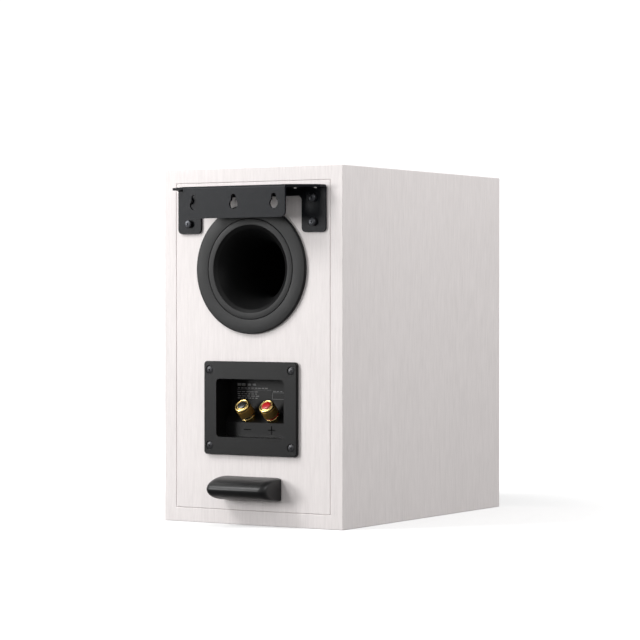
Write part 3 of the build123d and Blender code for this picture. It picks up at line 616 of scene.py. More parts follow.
# %% [markdown]
# ## Terminal plate and bracket
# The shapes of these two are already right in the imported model, down to the recess and the
# keyholes; only their edges are too sharp. Each piece is a merged copy of its part with a narrow
# rounding along every edge that turns by more than 30 degrees: wider on the moulded plate than on
# the bracket, whose edges were cut from sheet.


# %% Terminal plate and bracket
def copy_of(node, name):
    """A merged copy of a part's mesh, whose own triangles are loose."""
    form = bmesh.new()
    form.from_mesh(nodes[node].data)
    bmesh.ops.remove_doubles(form, verts=form.verts, dist=1e-6)
    bmesh.ops.dissolve_limit(form, angle_limit=radians(0.5), verts=form.verts, edges=form.edges)
    mesh = bpy.data.meshes.new(name)
    form.to_mesh(mesh)
    form.free()
    mesh.shade_smooth()
    mesh.set_sharp_from_angle(angle=radians(35))
    return new_piece(name, mesh)


plate_edge, bracket_edge = 0.35 * mm, 0.22 * mm
plate = bevelled(copy_of("terminal_plate", "terminal_dish"), plate_edge, 2)
finish_piece(plate, "plate_plastic", "cabinet", "terminal_plate")
bracket = bevelled(copy_of("wall_bracket", "hanging_bracket"), bracket_edge, 2)
finish_piece(bracket, "powder_coat", "cabinet", "wall_bracket")
for piece in (plate, bracket):
    print(f"{piece.name}: {len(piece.data.polygons)} faces")

# %% [markdown]
# ## The lower spacer
# A block of rubber at the foot keeps the cabinet upright on a wall. Its side view is a flat-topped
# nose, and its ends are rounded off. The mesh is a row of nose outlines along X: near each end they
# shrink along a quarter circle, which rounds the end as a file would.

# %% The lower spacer
spacer_low, spacer_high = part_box("lower_spacer")
spacer_z = (spacer_low[2] + spacer_high[2]) / 2
spacer_half = (spacer_high[2] - spacer_low[2]) / 2
spacer_round = 6.0 * mm
round_steps = 10


def nose(reach, half):
    """The nose's outline in Y and Z, from the lower back corner round to the upper one."""
    base = spacer_low[1]
    upper = bezier((base + 0.05 * reach, half), (base + 0.52 * reach, half),
                   (base + reach, 0.56 * half), (base + reach, 0), 24)
    lower = [(y, -z) for y, z in upper]
    return [(base, -half)] + lower + upper[-2::-1] + [(base, half)]


def spacer():
    """Nose outlines along X, smaller towards both ends."""
    half_width = (spacer_high[0] - spacer_low[0]) / 2
    reach = spacer_high[1] - spacer_low[1]
    stations = [(half_width - spacer_round * (1 - cos(pi / 2 * i / round_steps)),
                 spacer_round * (1 - sin(pi / 2 * i / round_steps)))
                for i in range(round_steps + 1)]
    stations += [(-x, inset) for x, inset in reversed(stations)]
    form = bmesh.new()
    rings = [[form.verts.new((x, y, spacer_z + z))
              for y, z in nose(reach - inset, spacer_half - 0.3 * inset)]
             for x, inset in stations]
    for near, far in zip(rings, rings[1:]):
        for i in range(len(near)):
            j = (i + 1) % len(near)
            form.faces.new((near[i], near[j], far[j], far[i]))
    form.faces.new(rings[0])
    form.faces.new(rings[-1])
    return new_piece("foot_spacer", mesh_from("foot_spacer", form))


foot = spacer()
finish_piece(foot, "spacer_rubber", "cabinet", "lower_spacer")
print(f"spacer: {len(foot.data.polygons)} faces")

# %% [markdown]
# ## Geometry Nodes, as a small tool
# Screws, knurls and printed lines repeat, and Geometry Nodes repeat things well. A tree is a recipe
# with named inputs. This class builds one, runs it on a piece, and leaves a plain mesh behind,
# because an export keeps meshes and drops instances.


# %% A Geometry Nodes tree
class Recipe:
    """A Geometry Nodes tree with named inputs."""

    def __init__(self, name, **inputs):
        self.tree = bpy.data.node_groups.new(name, "GeometryNodeTree")
        self.tree.interface.new_socket("Geometry", in_out="OUTPUT",
                                       socket_type="NodeSocketGeometry")
        for key, kind in {"Points": "Geometry", **inputs, "Finish": "Material"}.items():
            self.tree.interface.new_socket(key, in_out="INPUT", socket_type=f"NodeSocket{kind}")
        self.given = self.tree.nodes.new("NodeGroupInput").outputs

    def node(self, kind, settings=None, sockets=None, output=0):
        """Add a node, and return one of its outputs."""
        return add_node(self.tree, kind, settings, sockets).outputs[output]

    def vector(self, **parts):
        return self.node("ShaderNodeCombineXYZ", None, parts)

    def sum_of(self, operation, first, second):
        return self.node("ShaderNodeMath", {"operation": operation}, {0: first, 1: second})

    def finish(self, instances):
        """End the tree: real geometry, with its finish."""
        real = self.node("GeometryNodeRealizeInstances", None, {0: instances})
        dressed = self.node("GeometryNodeSetMaterial", None,
                            {"Geometry": real, "Material": self.given["Finish"]})
        end = self.tree.nodes.new("NodeGroupOutput")
        self.tree.links.new(dressed, end.inputs[0])
        return self

    def run(self, piece, **values):
        """Run the tree on a piece, with each input set by its socket's identifier."""
        modifier = piece.modifiers.new("recipe", "NODES")
        modifier.node_group = self.tree
        for item in self.tree.interface.items_tree:
            if item.in_out == "INPUT" and item.name in values:
                modifier[item.identifier] = values[item.name]
        return applied(piece)


def points_piece(name, points):
    """A piece that is only points, for a recipe to work on."""
    mesh = bpy.data.meshes.new(name)
    mesh.from_pydata(points, [], [])
    return new_piece(name, mesh)


# %% [markdown]
# ## Screws
# Two kinds of screw are seen: pan heads that hold the bracket, and countersunk heads that hold the
# terminal plate. The recipe sets a copy of one screw on every point, each turned by its own random
# angle, as a hand-driven screw would be.

# %% A recipe for screws
screw_recipe = Recipe("screws", Screw="Object", Seed="Int")
screw = screw_recipe.node("GeometryNodeObjectInfo", None,
                          {"Object": screw_recipe.given["Screw"]}, output=4)
turn = screw_recipe.node("FunctionNodeRandomValue", {"data_type": "FLOAT"},
                         {2: 0.0, 3: pi / 2, "Seed": screw_recipe.given["Seed"]}, output=1)
screw_recipe.finish(screw_recipe.node("GeometryNodeInstanceOnPoints", None, {
    "Points": screw_recipe.given["Points"], "Instance": screw,
    "Rotation": screw_recipe.vector(Y=turn)}))
print(f"screw recipe: {len(screw_recipe.tree.nodes)} nodes")

# %% [markdown]
# ### One screw with a cross recess
# Head and shank are one turned outline. The recess narrows towards its bottom, as a screwdriver's
# tip does, so a tapered plug is taken away from the head. A Boolean modifier is the plainest way,
# because the cut is made only once for each kind of screw.


# %% One screw with a cross recess
def cross_cutter(arm, width, top, bottom):
    """A cross-shaped plug that narrows towards its bottom."""
    form = bmesh.new()
    outline = [(width, width), (width, arm), (-width, arm), (-width, width), (-arm, width),
               (-arm, -width), (-width, -width), (-width, -arm), (width, -arm),
               (width, -width), (arm, -width), (arm, width)]
    loops = [[form.verts.new((x * share, y * share, z)) for x, y in outline]
             for share, z in ((1.0, top), (0.55, bottom))]
    for i in range(len(outline)):
        j = (i + 1) % len(outline)
        form.faces.new((loops[0][i], loops[0][j], loops[1][j], loops[1][i]))
    form.faces.new(loops[0])
    form.faces.new(loops[1])
    return new_piece("cross_cutter", mesh_from("cross_cutter", form))


def screw_shape(name, outline, arm, width, top, bottom):
    """One screw along +Y, with its seat at the origin and a cross recess in its head."""
    shape = lathe(name, outline, Matrix(), 40)
    cutter = cross_cutter(arm, width, top, bottom)
    cut = shape.modifiers.new("recess", "BOOLEAN")
    cut.operation = "DIFFERENCE"
    cut.object = cutter
    cut.solver = "EXACT"
    applied(shape)
    bpy.data.objects.remove(cutter)
    shape.data.transform(Matrix.Rotation(-pi / 2, 4, "X"))
    return flat_faces_first(shape, 35)


# %% [markdown]
# ### Screws on their seats
# The seats are the four corners of the box round each set of screws, moved in to the middle of each
# head. The pan heads stand on the bracket's sheet. The countersunk heads lie just below the plate's
# face.


# %% Screws on their seats
def set_screws(name, shape, seats, seed, slot, node):
    """Copies of one screw on its seats, as one piece that stands for one part."""
    piece = points_piece(name, seats)
    screw_recipe.run(piece, Screw=shape, Seed=seed, Finish=finishes[slot])
    bpy.data.objects.remove(shape)
    finish_piece(piece, slot, "cabinet", node)
    print(f"{name}: {len(seats)} screws, {len(piece.data.polygons)} faces")


def corners_of(node, inset):
    """The four corners of a part's box in X and Z, moved in by inset."""
    low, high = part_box(node)
    return [(x, z) for x in (low[0] + inset, high[0] - inset)
            for z in (low[2] + inset, high[2] - inset)]


pan_radius, pan_seat = 3.3 * mm, rear_y + 2.0 * mm
pan_outline = ([(0, -12 * mm), (1.4 * mm, -12 * mm), (2 * mm, -11.2 * mm), (2 * mm, 0),
                (pan_radius, 0), (pan_radius, 2.1 * mm)]
               + arc((pan_radius - 1.0 * mm, 2.2 * mm), 1.0 * mm, 10, 70)
               + [(1.6 * mm, 3.26 * mm), (0.8 * mm, 3.37 * mm), (0, 3.4 * mm)])
set_screws("pan_screws",
           screw_shape("pan_screw", pan_outline, 1.9 * mm, 0.42 * mm, 4 * mm, 1.7 * mm),
           [(x, pan_seat, z) for x, z in corners_of("bracket_screws", pan_radius)],
           3, "bracket_screw", "bracket_screws")

sunk_radius, sunk_by, sunk_inset = 3.2 * mm, 0.6 * mm, 3.75 * mm
plate_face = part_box("terminal_plate")[1][1]
sunk_outline = [(0, -15 * mm), (0.9 * mm, -15 * mm), (1.6 * mm, -13.5 * mm),
                (1.6 * mm, -2.2 * mm), (sunk_radius, -sunk_by), (sunk_radius * 0.9, -0.42 * mm),
                (sunk_radius * 0.6, -0.25 * mm), (sunk_radius * 0.3, -0.18 * mm),
                (0, -0.16 * mm)]
set_screws("plate_screws",
           screw_shape("sunk_screw", sunk_outline, 1.75 * mm, 0.4 * mm, 1 * mm, -1.7 * mm),
           [(x, plate_face, z) for x, z in corners_of("terminal_screws", sunk_inset)],
           11, "black_screw", "terminal_screws")

# %% [markdown]
# ## The knurl of the knobs
# Fingers turn a knob by its barrel, which has a fine straight knurl. A knurling wheel leaves slim
# ridges at even steps, so a recipe sets one ridge on every point of a circle. Real ridges catch the
# light one by one, which a bump on a smooth barrel doesn't do.

# %% The knurl of the knobs
knurl_recipe = Recipe("knurl", Count="Int", Radius="Float", Depth="Float", Width="Float",
                      Length="Float", Middle="Float")
sizes = knurl_recipe.given
circle = knurl_recipe.node("GeometryNodeMeshCircle", None,
                           {"Vertices": sizes["Count"], "Radius": sizes["Radius"]})
angle = knurl_recipe.sum_of("MULTIPLY", knurl_recipe.node("GeometryNodeInputIndex"),
                            knurl_recipe.sum_of("DIVIDE", 2 * pi, sizes["Count"]))
ridge = knurl_recipe.node("GeometryNodeMeshCube", None, {
    "Size": knurl_recipe.vector(X=sizes["Depth"], Y=sizes["Width"], Z=sizes["Length"])})
raised_ridge = knurl_recipe.node("GeometryNodeTransform", None, {
    "Geometry": ridge, "Translation": knurl_recipe.vector(Z=sizes["Middle"])})
knurl_recipe.finish(knurl_recipe.node("GeometryNodeInstanceOnPoints", None, {
    "Points": circle, "Instance": raised_ridge,
    "Rotation": knurl_recipe.vector(Z=angle)}))
print(f"knurl recipe: {len(knurl_recipe.tree.nodes)} nodes")

# %% [markdown]
# ## Outlines of a binding post
# Each post has a gold collar, a coloured ring, a gold knob with a polished bead, and a coloured plug
# that stands a little proud of the knob. All four are turned, and every height is counted from the
# foot of the post, so that one outline leads on from the next.

# %% Outlines of a binding post
collar_top, ring_base, ring_top = 4.2 * mm, 4.3 * mm, 5.2 * mm
knob_base, knob_top = 5.3 * mm, 16.6 * mm
knob_radius, barrel_radius, post_bore = 6.9 * mm, 6.55 * mm, 4.05 * mm
bead, head_base = 1.15 * mm, 14.2 * mm
plug_base, plug_top, plug_radius = 13.5 * mm, 17.1 * mm, 3.95 * mm
plug_edge, post_turns, plug_turns = 0.6 * mm, 96, 64
knurl = {"Count": 60, "Radius": barrel_radius, "Depth": 0.42 * mm, "Width": 0.34 * mm,
         "Length": 7.4 * mm, "Middle": 9.9 * mm}

collar_outline = ([(post_bore, 0), (5.6 * mm, 0), (5.6 * mm, 1.5 * mm), (5.4 * mm, 1.7 * mm)]
                  + arc((6.2 * mm, 2.0 * mm), 0.3 * mm, -90, 0, 4)
                  + arc((6.1 * mm, collar_top - 0.4 * mm), 0.4 * mm, 0, 90, 4)
                  + [(post_bore, collar_top)])
washer_outline = (arc((5.95 * mm, ring_base + 0.25 * mm), 0.25 * mm, -90, 0, 4)
                  + arc((5.95 * mm, ring_top - 0.25 * mm), 0.25 * mm, 0, 90, 4)
                  + [(post_bore, ring_top), (post_bore, ring_base)])
knob_outline = ([(post_bore, knob_base), (5.9 * mm, knob_base), (barrel_radius, 6.0 * mm),
                 (barrel_radius, 13.9 * mm), (6.4 * mm, 14.05 * mm), (6.4 * mm, head_base),
                 (knob_radius - 0.1 * mm, 14.5 * mm)]
                + arc((knob_radius - bead, knob_top - bead), bead, -20, 125, 16)
                + [(4.9 * mm, 16.15 * mm), (4.5 * mm, 16.1 * mm), (post_bore, 16.2 * mm)])
plug_outline = ([(0, -2.4 * mm), (1.7 * mm, -2.4 * mm), (2.0 * mm, -2.0 * mm),
                 (2.0 * mm, plug_base), (plug_radius, plug_base)]
                + arc((plug_radius - plug_edge, plug_top - plug_edge), plug_edge, 0, 80, 6)
                + [(2.2 * mm, plug_top + 0.08 * mm), (0, plug_top + 0.12 * mm)])
print(f"a knob is {(knob_top - knob_base) / mm:.1f} mm long, {2 * knob_radius / mm:.1f} mm across")

# %% [markdown]
# ## Binding posts
# The posts lean outwards on the sloped wall. The joint that a knob unscrews on already states that
# axis, so each post is turned to it. The knob's barrel is marked while the knob still stands
# upright at the origin, where a height tells barrel from bead.


# %% Binding posts
def joined(target, *others):
    """Add the meshes of other pieces to a target piece."""
    form = bmesh.new()
    form.from_mesh(target.data)
    for other in others:
        form.from_mesh(other.data)
        bpy.data.objects.remove(other)
    form.to_mesh(target.data)
    form.free()
    return target


def post_placing(pole):
    """The placing of a post: up the joint's axis, with X across the plate."""
    joint = joints[f"{pole}_knob_turn"]
    up = Vector(joint["axis"]).normalized()
    across = Vector((1, 0, 0))
    turned = Matrix((across, up.cross(across), up)).transposed().to_4x4()
    return Matrix.Translation(joint["pos_m"]) @ turned


def mark_barrel(knob, low, high):
    """Mark the points of a knob's barrel, before the knob is placed, for its finish."""
    marks = knob.data.attributes.new("barrel", "FLOAT", "POINT")
    for point, mark in zip(knob.data.vertices, marks.data):
        mark.value = 1.0 if low < point.co.z < high else 0.0


for pole in ("negative", "positive"):
    placing = post_placing(pole)
    ridges = points_piece(f"{pole}_ridges", [(0, 0, 0)])
    knurl_recipe.run(ridges, Finish=finishes["gold_plate"], **knurl)
    knob = joined(lathe(f"{pole}_knurled_knob", knob_outline, Matrix(), post_turns), ridges)
    mark_barrel(knob, knob_base + 0.1 * mm, head_base)
    knob.data.transform(placing)
    turned_pieces = {
        f"{pole}_collar": lathe(f"{pole}_gold_collar", collar_outline, placing, post_turns),
        f"{pole}_ring": lathe(f"{pole}_colour_ring", washer_outline, placing, post_turns),
        f"{pole}_knob": knob,
        f"{pole}_socket_plug": lathe(f"{pole}_plug", plug_outline, placing, plug_turns)}
    for node, piece in turned_pieces.items():
        finish_piece(piece, slot_of[node], body_of_node[node], node)
    print(f"{pole} knob: {len(knob.data.polygons)} faces, {knurl['Count']} ridges")

# %% [markdown]
# ## Print on the plate
# The back wall of the recess carries lines of small print. Here the print is plain bars with no
# letters in them, as a layout sketch has: a heading, a line under it, a rule, four lines of small
# print and an empty frame. A recipe sets bars of random length along a row.

# %% A recipe for a row of print
row_recipe = Recipe("print_row", Words="Int", Pitch="Float", Height="Float", Proud="Float",
                    Seed="Int")
given = row_recipe.given
start = row_recipe.node("GeometryNodeMeshLine", {"mode": "OFFSET"}, {
    "Count": given["Words"],
    "Offset": row_recipe.vector(X=row_recipe.sum_of("MULTIPLY", given["Pitch"], -1.0))})
share = row_recipe.node("FunctionNodeRandomValue", {"data_type": "FLOAT"},
                        {2: 0.5, 3: 0.92, "Seed": given["Seed"]}, output=1)
bar = row_recipe.node("GeometryNodeMeshCube", None, {"Size": (1.0, 1.0, 1.0)})
row_recipe.finish(row_recipe.node("GeometryNodeInstanceOnPoints", None, {
    "Points": start, "Instance": bar,
    "Scale": row_recipe.vector(X=row_recipe.sum_of("MULTIPLY", given["Pitch"], share),
                               Y=given["Proud"], Z=given["Height"])}))
print(f"row recipe: {len(row_recipe.tree.nodes)} nodes")

# %% [markdown]
# ### Rows, rule and frame
# Every row has its own number of words, its pitch and its place. The rule and the frame are thin
# bars that meet at their ends without crossing, and the whole print becomes one piece.

# %% Rows, rule and frame
print_left, print_proud = 28.6 * mm, 0.05 * mm
recess_back = rear_y - 20.5 * mm
# words, pitch, height and place across and up the wall, in millimetres
print_rows = ((2, 4.4, 2.2, 0, 117.9), (2, 5.0, 1.7, 10.0, 117.9), (9, 3.5, 0.8, 0, 114.9),
              (5, 4.3, 0.62, 0, 111.7), (6, 3.5, 0.62, 0, 109.9), (5, 4.6, 0.62, 0, 108.1),
              (6, 3.6, 0.62, 0, 106.3), (3, 3.4, 0.6, 36.4, 112.5))


def thin_bar(form, x_limits, z_limits, y=recess_back):
    """Add a thin bar to a bmesh, standing barely proud of the wall, for print and for painted shade in the marks.
    """
    middle = Vector((sum(x_limits) / 2, y, sum(z_limits) / 2))
    size = (x_limits[1] - x_limits[0], print_proud, z_limits[1] - z_limits[0], 1)
    bmesh.ops.create_cube(form, size=1,
                          matrix=Matrix.Translation(middle) @ Matrix.Diagonal(size))


rows = []
for seed, (words, pitch, height, across, up) in enumerate(print_rows):
    row = points_piece(f"print_{seed}", [(0, 0, 0)])
    row_recipe.run(row, Words=words, Pitch=pitch * mm, Height=height * mm, Proud=print_proud,
                   Seed=seed, Finish=finishes["plate_plastic"])
    row.data.transform(Matrix.Translation((print_left - (across + pitch / 2) * mm, recess_back,
                                           up * mm)))
    rows.append(row)
lines = bmesh.new()
line_width = 0.28 * mm
thin_bar(lines, (-6.0 * mm, print_left), (113.35 * mm, 113.35 * mm + 0.6 * line_width))
frame_x, frame_z = (-24.5 * mm, -7.4 * mm), (105.9 * mm, 111.4 * mm)
for z in frame_z:
    thin_bar(lines, frame_x, (z - line_width / 2, z + line_width / 2))
for x in frame_x:
    thin_bar(lines, (x - line_width / 2, x + line_width / 2),
             (frame_z[0] + line_width / 2, frame_z[1] - line_width / 2))
printed = joined(new_piece("plain_print", mesh_from("plain_print", lines)), *rows)
moulded("ink", (0.24, 0.24, 0.24), 0.55, grain=3000.0, variation=0.3)
finish_piece(printed, "plate_plastic", "cabinet", look="ink")
print(f"print: {len(print_rows)} rows, {len(printed.data.polygons)} faces")

# %% [markdown]
# ## Painted shade in the minus and plus
# The plate says which post is which: a minus and a plus are sunk into the ledge under the posts.
# Thin bars of matt black on their floors are painted shade, for the shade in these shallow hollows.
# The plus is a long level bar and two short upright ones, which meet it without crossing.

# %% Painted shade in the minus and plus
mark_floor, mark_z = rear_y - 12.16 * mm, 79.9 * mm
half_size, half_bar = 3.55 * mm, 0.42 * mm
mark_x = {pole: joints[f"{pole}_knob_turn"]["pos_m"][0] for pole in ("negative", "positive")}
marks = bmesh.new()
for x in mark_x.values():
    thin_bar(marks, (x - half_size, x + half_size), (mark_z - half_bar, mark_z + half_bar),
             mark_floor)
plus_x = mark_x["positive"]
for low, high in ((-half_size, -half_bar), (half_bar, half_size)):
    thin_bar(marks, (plus_x - half_bar, plus_x + half_bar), (mark_z + low, mark_z + high),
             mark_floor)
# a matt black that paints the shade in the recessed minus and plus
moulded("mark_paint", (0.0015, 0.0015, 0.0015), 0.7, grain=3000.0, Specular_IOR_Level=0.1)
painted = new_piece("painted_marks", mesh_from("painted_marks", marks))
finish_piece(painted, "plate_plastic", "cabinet", look="mark_paint")
print(f"marks: {len(painted.data.polygons)} faces, {2 * half_size / mm:.1f} mm across")

# %% [markdown]
# ## The driver's trim ring and cone
# One driver plays everything: a paper cone with a rubber half-roll round it, and a small metal dome
# in the middle of it, at the end of a short horn. All of them are turned shapes. Their outlines
# are in radius and Y, and the front faces -Y. A trim ring hides the driver's flange and screws.

# %% The driver's trim ring and cone
trim_low, trim_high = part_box("driver_trim_ring")
driver_axis = along_y(0, (trim_low[2] + trim_high[2]) / 2)
driver_turns = 192
front_y = bottom_low[1]
trim_tip, trim_seat = trim_low[1], trim_high[1]
trim_edge = 1.4 * mm
trim_outline = ([(65.0 * mm, trim_seat), (75.1 * mm, trim_seat), (75.1 * mm, front_y),
                 (76.9 * mm, front_y)]
                + arc((76.9 * mm - trim_edge, trim_tip + trim_edge), trim_edge, 0, -90, 8)
                + arc((65.0 * mm + trim_edge, trim_tip + trim_edge), trim_edge, -90, -180, 8))
finish_piece(lathe("trim_ring", trim_outline, driver_axis, driver_turns), "trim_ring", "cabinet",
             "driver_trim_ring")

cone_radius, cone_land, neck_radius = 53.4 * mm, 3.0 * mm, 19.3 * mm
cone_wall, cone_depth = 0.8 * mm, 36.0 * mm
cone_rim_y = front_y + 1.9 * mm
neck_y = cone_rim_y + cone_depth


def cone_curve(shift):
    """The cone's side view, moved along Y."""
    rim_in = cone_radius - cone_land
    run = rim_in - neck_radius
    return bezier((rim_in, cone_rim_y + shift),
                  (rim_in - 0.36 * run, cone_rim_y + 0.26 * cone_depth + shift),
                  (neck_radius + 0.22 * run, cone_rim_y + 0.72 * cone_depth + shift),
                  (neck_radius, neck_y + shift), 48)


cone_outline = (cone_curve(0) + cone_curve(cone_wall)[::-1]
                + [(cone_radius, cone_rim_y + cone_wall), (cone_radius, cone_rim_y)])
finish_piece(lathe("cone", cone_outline, driver_axis, driver_turns), "cone_paper", "woofer",
             "woofer_cone")

print(f"driver: the cone is {2 * cone_radius / mm:.0f} mm across")

# %% [markdown]
# ## Horn and dome
# The small dome plays the high notes, and the short horn round it leads them smoothly on to the
# cone. The dome is a cap of a sphere with a narrow half-roll at its rim. Its inner face is a second
# cap from the same middle, so that its wall has one thickness.

# %% Horn and dome
tweeter_y = neck_y + 3.6 * mm
horn_outline = ([(14.2 * mm, tweeter_y), (18.3 * mm, tweeter_y), (18.3 * mm, neck_y - 0.7 * mm)]
                + arc((18.0 * mm, neck_y - 0.7 * mm), 0.3 * mm, 0, -100, 5)
                + bezier((17.6 * mm, neck_y - 0.8 * mm), (16.6 * mm, neck_y + 0.6 * mm),
                         (15.0 * mm, tweeter_y - 1.9 * mm), (14.2 * mm, tweeter_y - 1.2 * mm), 14))
finish_piece(lathe("horn", horn_outline, driver_axis, 128), "trim_ring",
             body_of_node["tweeter_waveguide"], "tweeter_waveguide")

dome_radius, dome_rise, dome_wall = 12.5 * mm, 4.6 * mm, 0.35 * mm
dome_y = tweeter_y - 0.8 * mm
dome_sphere = (dome_radius ** 2 + dome_rise ** 2) / (2 * dome_rise)
roll_radius, roll_wall = 0.65 * mm, 0.2 * mm


def dome_curve(sphere, steps=24):
    """The cap from its top to its rim, for a sphere that shares the dome's middle."""
    reach = atan2(dome_radius, dome_sphere - dome_rise)
    middle = dome_y - dome_rise + dome_sphere
    return [(sphere * sin(reach * i / steps), middle - sphere * cos(reach * i / steps))
            for i in range(steps + 1)]


dome_outline = (dome_curve(dome_sphere)
                + arc((dome_radius + roll_radius, dome_y), roll_radius, 180, 360, 8)
                + [(dome_radius + 2 * roll_radius, dome_y + roll_wall),
                   (dome_radius, dome_y + roll_wall)]
                + dome_curve(dome_sphere - dome_wall)[::-1])
finish_piece(lathe("dome", dome_outline, driver_axis, 128), "dome", "tweeter", "tweeter_dome")
print(f"driver: the dome is {2 * dome_radius / mm:.0f} mm across")

# %% [markdown]
# ## Surround and spider
# Two rings hold the cone and flex with it: the rubber surround at its rim, and the corrugated cloth
# spider behind it. Their outer edges stay with the cabinet and their inner edges move with the
# cone, so each is blended between the two bodies, and the blend follows the distance from the axis.

# %% Surround and spider
def flexing(piece, slot, node, inner, outer):
    """A ring that follows the cone at its inner radius and the cabinet at its outer one."""
    wear(piece, slot)
    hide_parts(node)
    middle = driver_axis.translation
    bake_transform(piece, "cabinet", "woofer", middle + Vector((outer, 0, 0)),
             middle + Vector((inner, 0, 0)))
    follow = piece.data.attributes["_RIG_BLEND"].data
    for vertex, weight in zip(piece.data.vertices, follow):
        radius = hypot(vertex.co.x - middle.x, vertex.co.z - middle.z)
        share = min(1.0, max(0.0, (outer - radius) / (outer - inner)))
        weight.value = share * share * (3 - 2 * share)
    print(f"{piece.name}: flexes between {inner / mm:.0f} and {outer / mm:.0f} mm")


roll_middle, roll_mean, rubber = 57.4 * mm, 4.0 * mm, 0.8 * mm
roll_y = cone_rim_y - 0.45 * mm
land = rubber / 2
surround_outline = (
    [(50.1 * mm, roll_y - land), (52.4 * mm, roll_y - land)]
    + arc((roll_middle, roll_y), roll_mean + land, 186, 354, 24)
    + [(62.4 * mm, roll_y - land), (68.6 * mm, roll_y - land), (68.6 * mm, roll_y + land),
       (61.4 * mm, roll_y + land)]
    + arc((roll_middle, roll_y), roll_mean - land, 354, 186, 24)
    + [(53.4 * mm, roll_y + land), (50.1 * mm, roll_y + land)])
flexing(lathe("surround", surround_outline, driver_axis, driver_turns), "surround_rubber",
        "woofer_surround", cone_radius, cone_radius + 8 * mm)

spider_low, spider_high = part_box("woofer_spider")
spider_inner, spider_outer = neck_radius, (spider_high[0] - spider_low[0]) / 2
cloth, waves = 0.5 * mm, 5
spider_middle = (spider_low[1] + spider_high[1]) / 2
swing = (spider_high[1] - spider_low[1] - cloth) / 2


def spider_curve(side, steps=60):
    """The cloth's wavy side view, flat where it is glued."""
    points = []
    for i in range(steps + 1):
        share = i / steps
        flat = min(1.0, 8 * share, 8 * (1 - share))
        points.append((spider_inner + (spider_outer - spider_inner) * share,
                       spider_middle + side * cloth / 2 + swing * flat
                       * sin(2 * pi * waves * share)))
    return points


flexing(lathe("spider", spider_curve(-1) + spider_curve(1)[::-1], driver_axis, 96),
        "spider_cloth", "woofer_spider", spider_inner + 2 * mm, spider_outer - 3 * mm)

# %% [markdown]
# ## Wadding
# Three pads of loose polyester line the cabinet and soak up sound. They have no cover and no seams:
# a pad is a soft slab whose edges thin out and whose faces are uneven, so a finely divided box is
# pulled in towards its edges and moved by a smooth noise that always gives the same result.

# %% Wadding
wadding_low, wadding_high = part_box("damping_pads")
pad_thickness, pad_foot, pad_head, top_half = 14.0 * mm, 42 * mm, 255 * mm, 66 * mm
top_edge = wadding_high[2] - pad_thickness
pad_boxes = {
    "wadding_left": ((wadding_low[0], wadding_low[1], pad_foot),
                     (wadding_low[0] + pad_thickness, wadding_high[1], pad_head)),
    "wadding_right": ((wadding_high[0] - pad_thickness, wadding_low[1], pad_foot),
                      (wadding_high[0], wadding_high[1], pad_head)),
    "wadding_top": ((-top_half, wadding_low[1], top_edge),
                    (top_half, wadding_high[1], wadding_high[2]))}


def soft_slab(name, low, high, cuts=28, unevenness=0.12):
    """A slab with thin soft edges and uneven faces, inside the box from low to high."""
    form = bmesh.new()
    bmesh.ops.create_cube(form, size=2)
    bmesh.ops.subdivide_edges(form, edges=form.edges, cuts=cuts, use_grid_fill=True)
    middle = (Vector(low) + Vector(high)) / 2
    half = (Vector(high) - Vector(low)) / 2
    thin = min(range(3), key=lambda axis: half[axis])
    for vertex in form.verts:
        place = vertex.co.copy()
        edge = max(abs(place[axis]) for axis in range(3) if axis != thin)
        fall = 1 - edge ** 10
        swell = 1 - unevenness * (1 + noise.noise(place * 3.1 + middle * 40))
        place[thin] *= (0.35 + 0.65 * fall) * min(1.0, swell)
        for axis in range(3):
            if axis != thin:
                place[axis] *= 1 - 0.02 * (1 + noise.noise(place * 2.3)) * abs(place[axis]) ** 4
        vertex.co = middle + Vector([place[axis] * half[axis] for axis in range(3)])
    return new_piece(name, mesh_from(name, form))


for index, (name, (low, high)) in enumerate(pad_boxes.items()):
    pad = soft_slab(name, low, high)
    finish_piece(pad, "wadding", "cabinet", *(["damping_pads"] if index == 0 else []))
    print(f"{name}: {len(pad.data.polygons)} faces")

# %% [markdown]
# ## The floor
# The speaker stands on a white floor in a white studio, so bright that floor and background melt
# together and only a soft shadow shows where it stands. If the floor really sent that much light
# back, the shaded side would be as bright as the lit one. So the camera sees the floor brighter
# than the speaker does: a Light Path node tells the two apart. Close to the speaker the floor glows
# less than farther off, which is painted shade round its foot and leaves room for the shadow.

# %% The floor
floor_reach = 60.0
floor_shade, seen_shade, floor_glow = 0.15, 0.78, 0.60
# the glow close to the speaker is lower: painted shade round its foot
painted_shade_glow, painted_shade_from, painted_shade_to = 0.42, 0.20, 0.46

floor_mesh = bpy.data.meshes.new("floor")
floor_corners = [(x * floor_reach, y * floor_reach, 0)
                 for x, y in ((-1, -1), (1, -1), (1, 1), (-1, 1))]
floor_mesh.from_pydata(floor_corners, [], [(0, 1, 2, 3)])
floor = new_piece("floor", floor_mesh)
floor_finish = Finish("floor_white", Roughness=0.9, Specular_IOR_Level=0.0,
                      Emission_Strength=floor_glow)
seen = floor_finish.node("ShaderNodeLightPath")
floor_finish.feed("Base Color", floor_finish.between(seen, (floor_shade,) * 3, (seen_shade,) * 3))
away = floor_finish.node("ShaderNodeVectorMath", {"operation": "LENGTH"},
                         {0: floor_finish.place()}, output=1)
# Painted shade: close to the speaker the camera sees the floor glow less, so the floor round its foot is darker.
painted_shade_ramp = floor_finish.node("ShaderNodeMapRange", {"interpolation_type": "SMOOTHSTEP"},
                         {"Value": away, "From Min": painted_shade_from, "From Max": painted_shade_to,
                          "To Min": painted_shade_glow, "To Max": 1.0})
floor_finish.feed("Emission Color", seen * painted_shade_ramp)
floor_mesh.materials.append(floor_finish.material)
print(f"floor: {2 * floor_reach:.0f} m across")

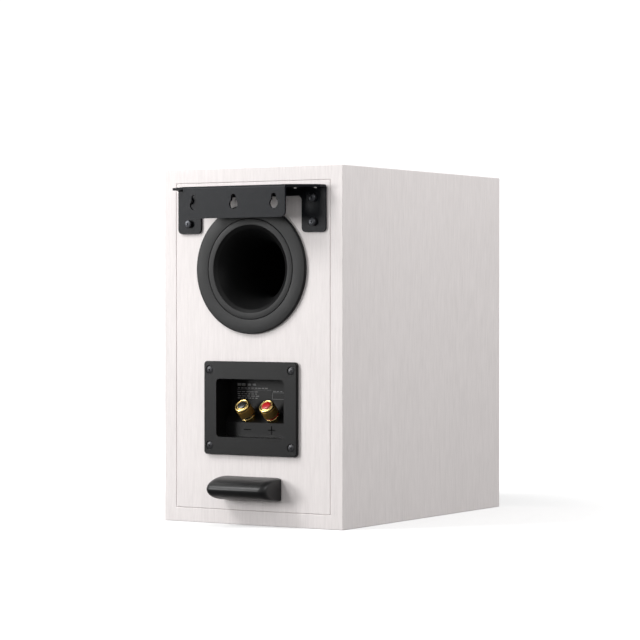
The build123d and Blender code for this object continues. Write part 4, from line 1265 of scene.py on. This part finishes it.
# %% [markdown]
# ## Lamps and room
# Three square lamps are aimed near the middle of the speaker: one high behind it, a strong one
# farther off on the viewer's left, and a weak one for the side face. They are hidden from the
# camera, so that no view shows them. The room adds an even light from all round, and where the
# camera looks past the speaker it sees a brighter white than the room's own.

# %% Lamps and room
room_light, backdrop_light = 0.69, 1.1
# each lamp's place, the side of its square and its power in watts
lamps = {"high": ((0.62, 0.74, 0.96), 0.45, 7.2),
         "left": ((1.30, 1.66, 0.46), 0.60, 17.5),
         "side": ((-0.75, -0.05, 0.74), 0.50, 3.3)}
lamp_target = (0, 0.05, 0.15)


def studio(strength, background):
    """Light of one strength from all round, and a white background where the camera looks."""
    world = bpy.data.worlds.new("studio")
    scene.world = world
    world.use_nodes = True
    tree = world.node_tree
    room = tree.nodes["Background"]
    room.inputs["Color"].default_value = (1, 1, 1, 1)
    room.inputs["Strength"].default_value = strength
    backdrop = tree.nodes.new("ShaderNodeBackground")
    backdrop.inputs["Color"].default_value = (1, 1, 1, 1)
    backdrop.inputs["Strength"].default_value = background
    mix = tree.nodes.new("ShaderNodeMixShader")
    tree.links.new(tree.nodes.new("ShaderNodeLightPath").outputs["Is Camera Ray"], mix.inputs[0])
    tree.links.new(room.outputs[0], mix.inputs[1])
    tree.links.new(backdrop.outputs[0], mix.inputs[2])
    tree.links.new(mix.outputs[0], tree.nodes["World Output"].inputs[0])


def soft_lamp(name, place, target, size, watts):
    """A square lamp that looks at a target."""
    data = bpy.data.lights.new(name, "AREA")
    data.shape = "SQUARE"
    data.size = size
    data.energy = watts
    lamp = bpy.data.objects.new(name, data)
    scene.collection.objects.link(lamp)
    lamp.location = place
    direction = Vector(target) - Vector(place)
    lamp.rotation_mode = "QUATERNION"
    lamp.rotation_quaternion = direction.to_track_quat("-Z", "Y")
    lamp.visible_camera = False


studio(room_light, backdrop_light)
for name, (place, size, watts) in lamps.items():
    soft_lamp(name, place, lamp_target, size, watts)
scene.view_settings.view_transform = "Standard"
scene.cycles.use_denoising = True
print(f"{len(lamps)} lamps, and a room of strength {room_light}")
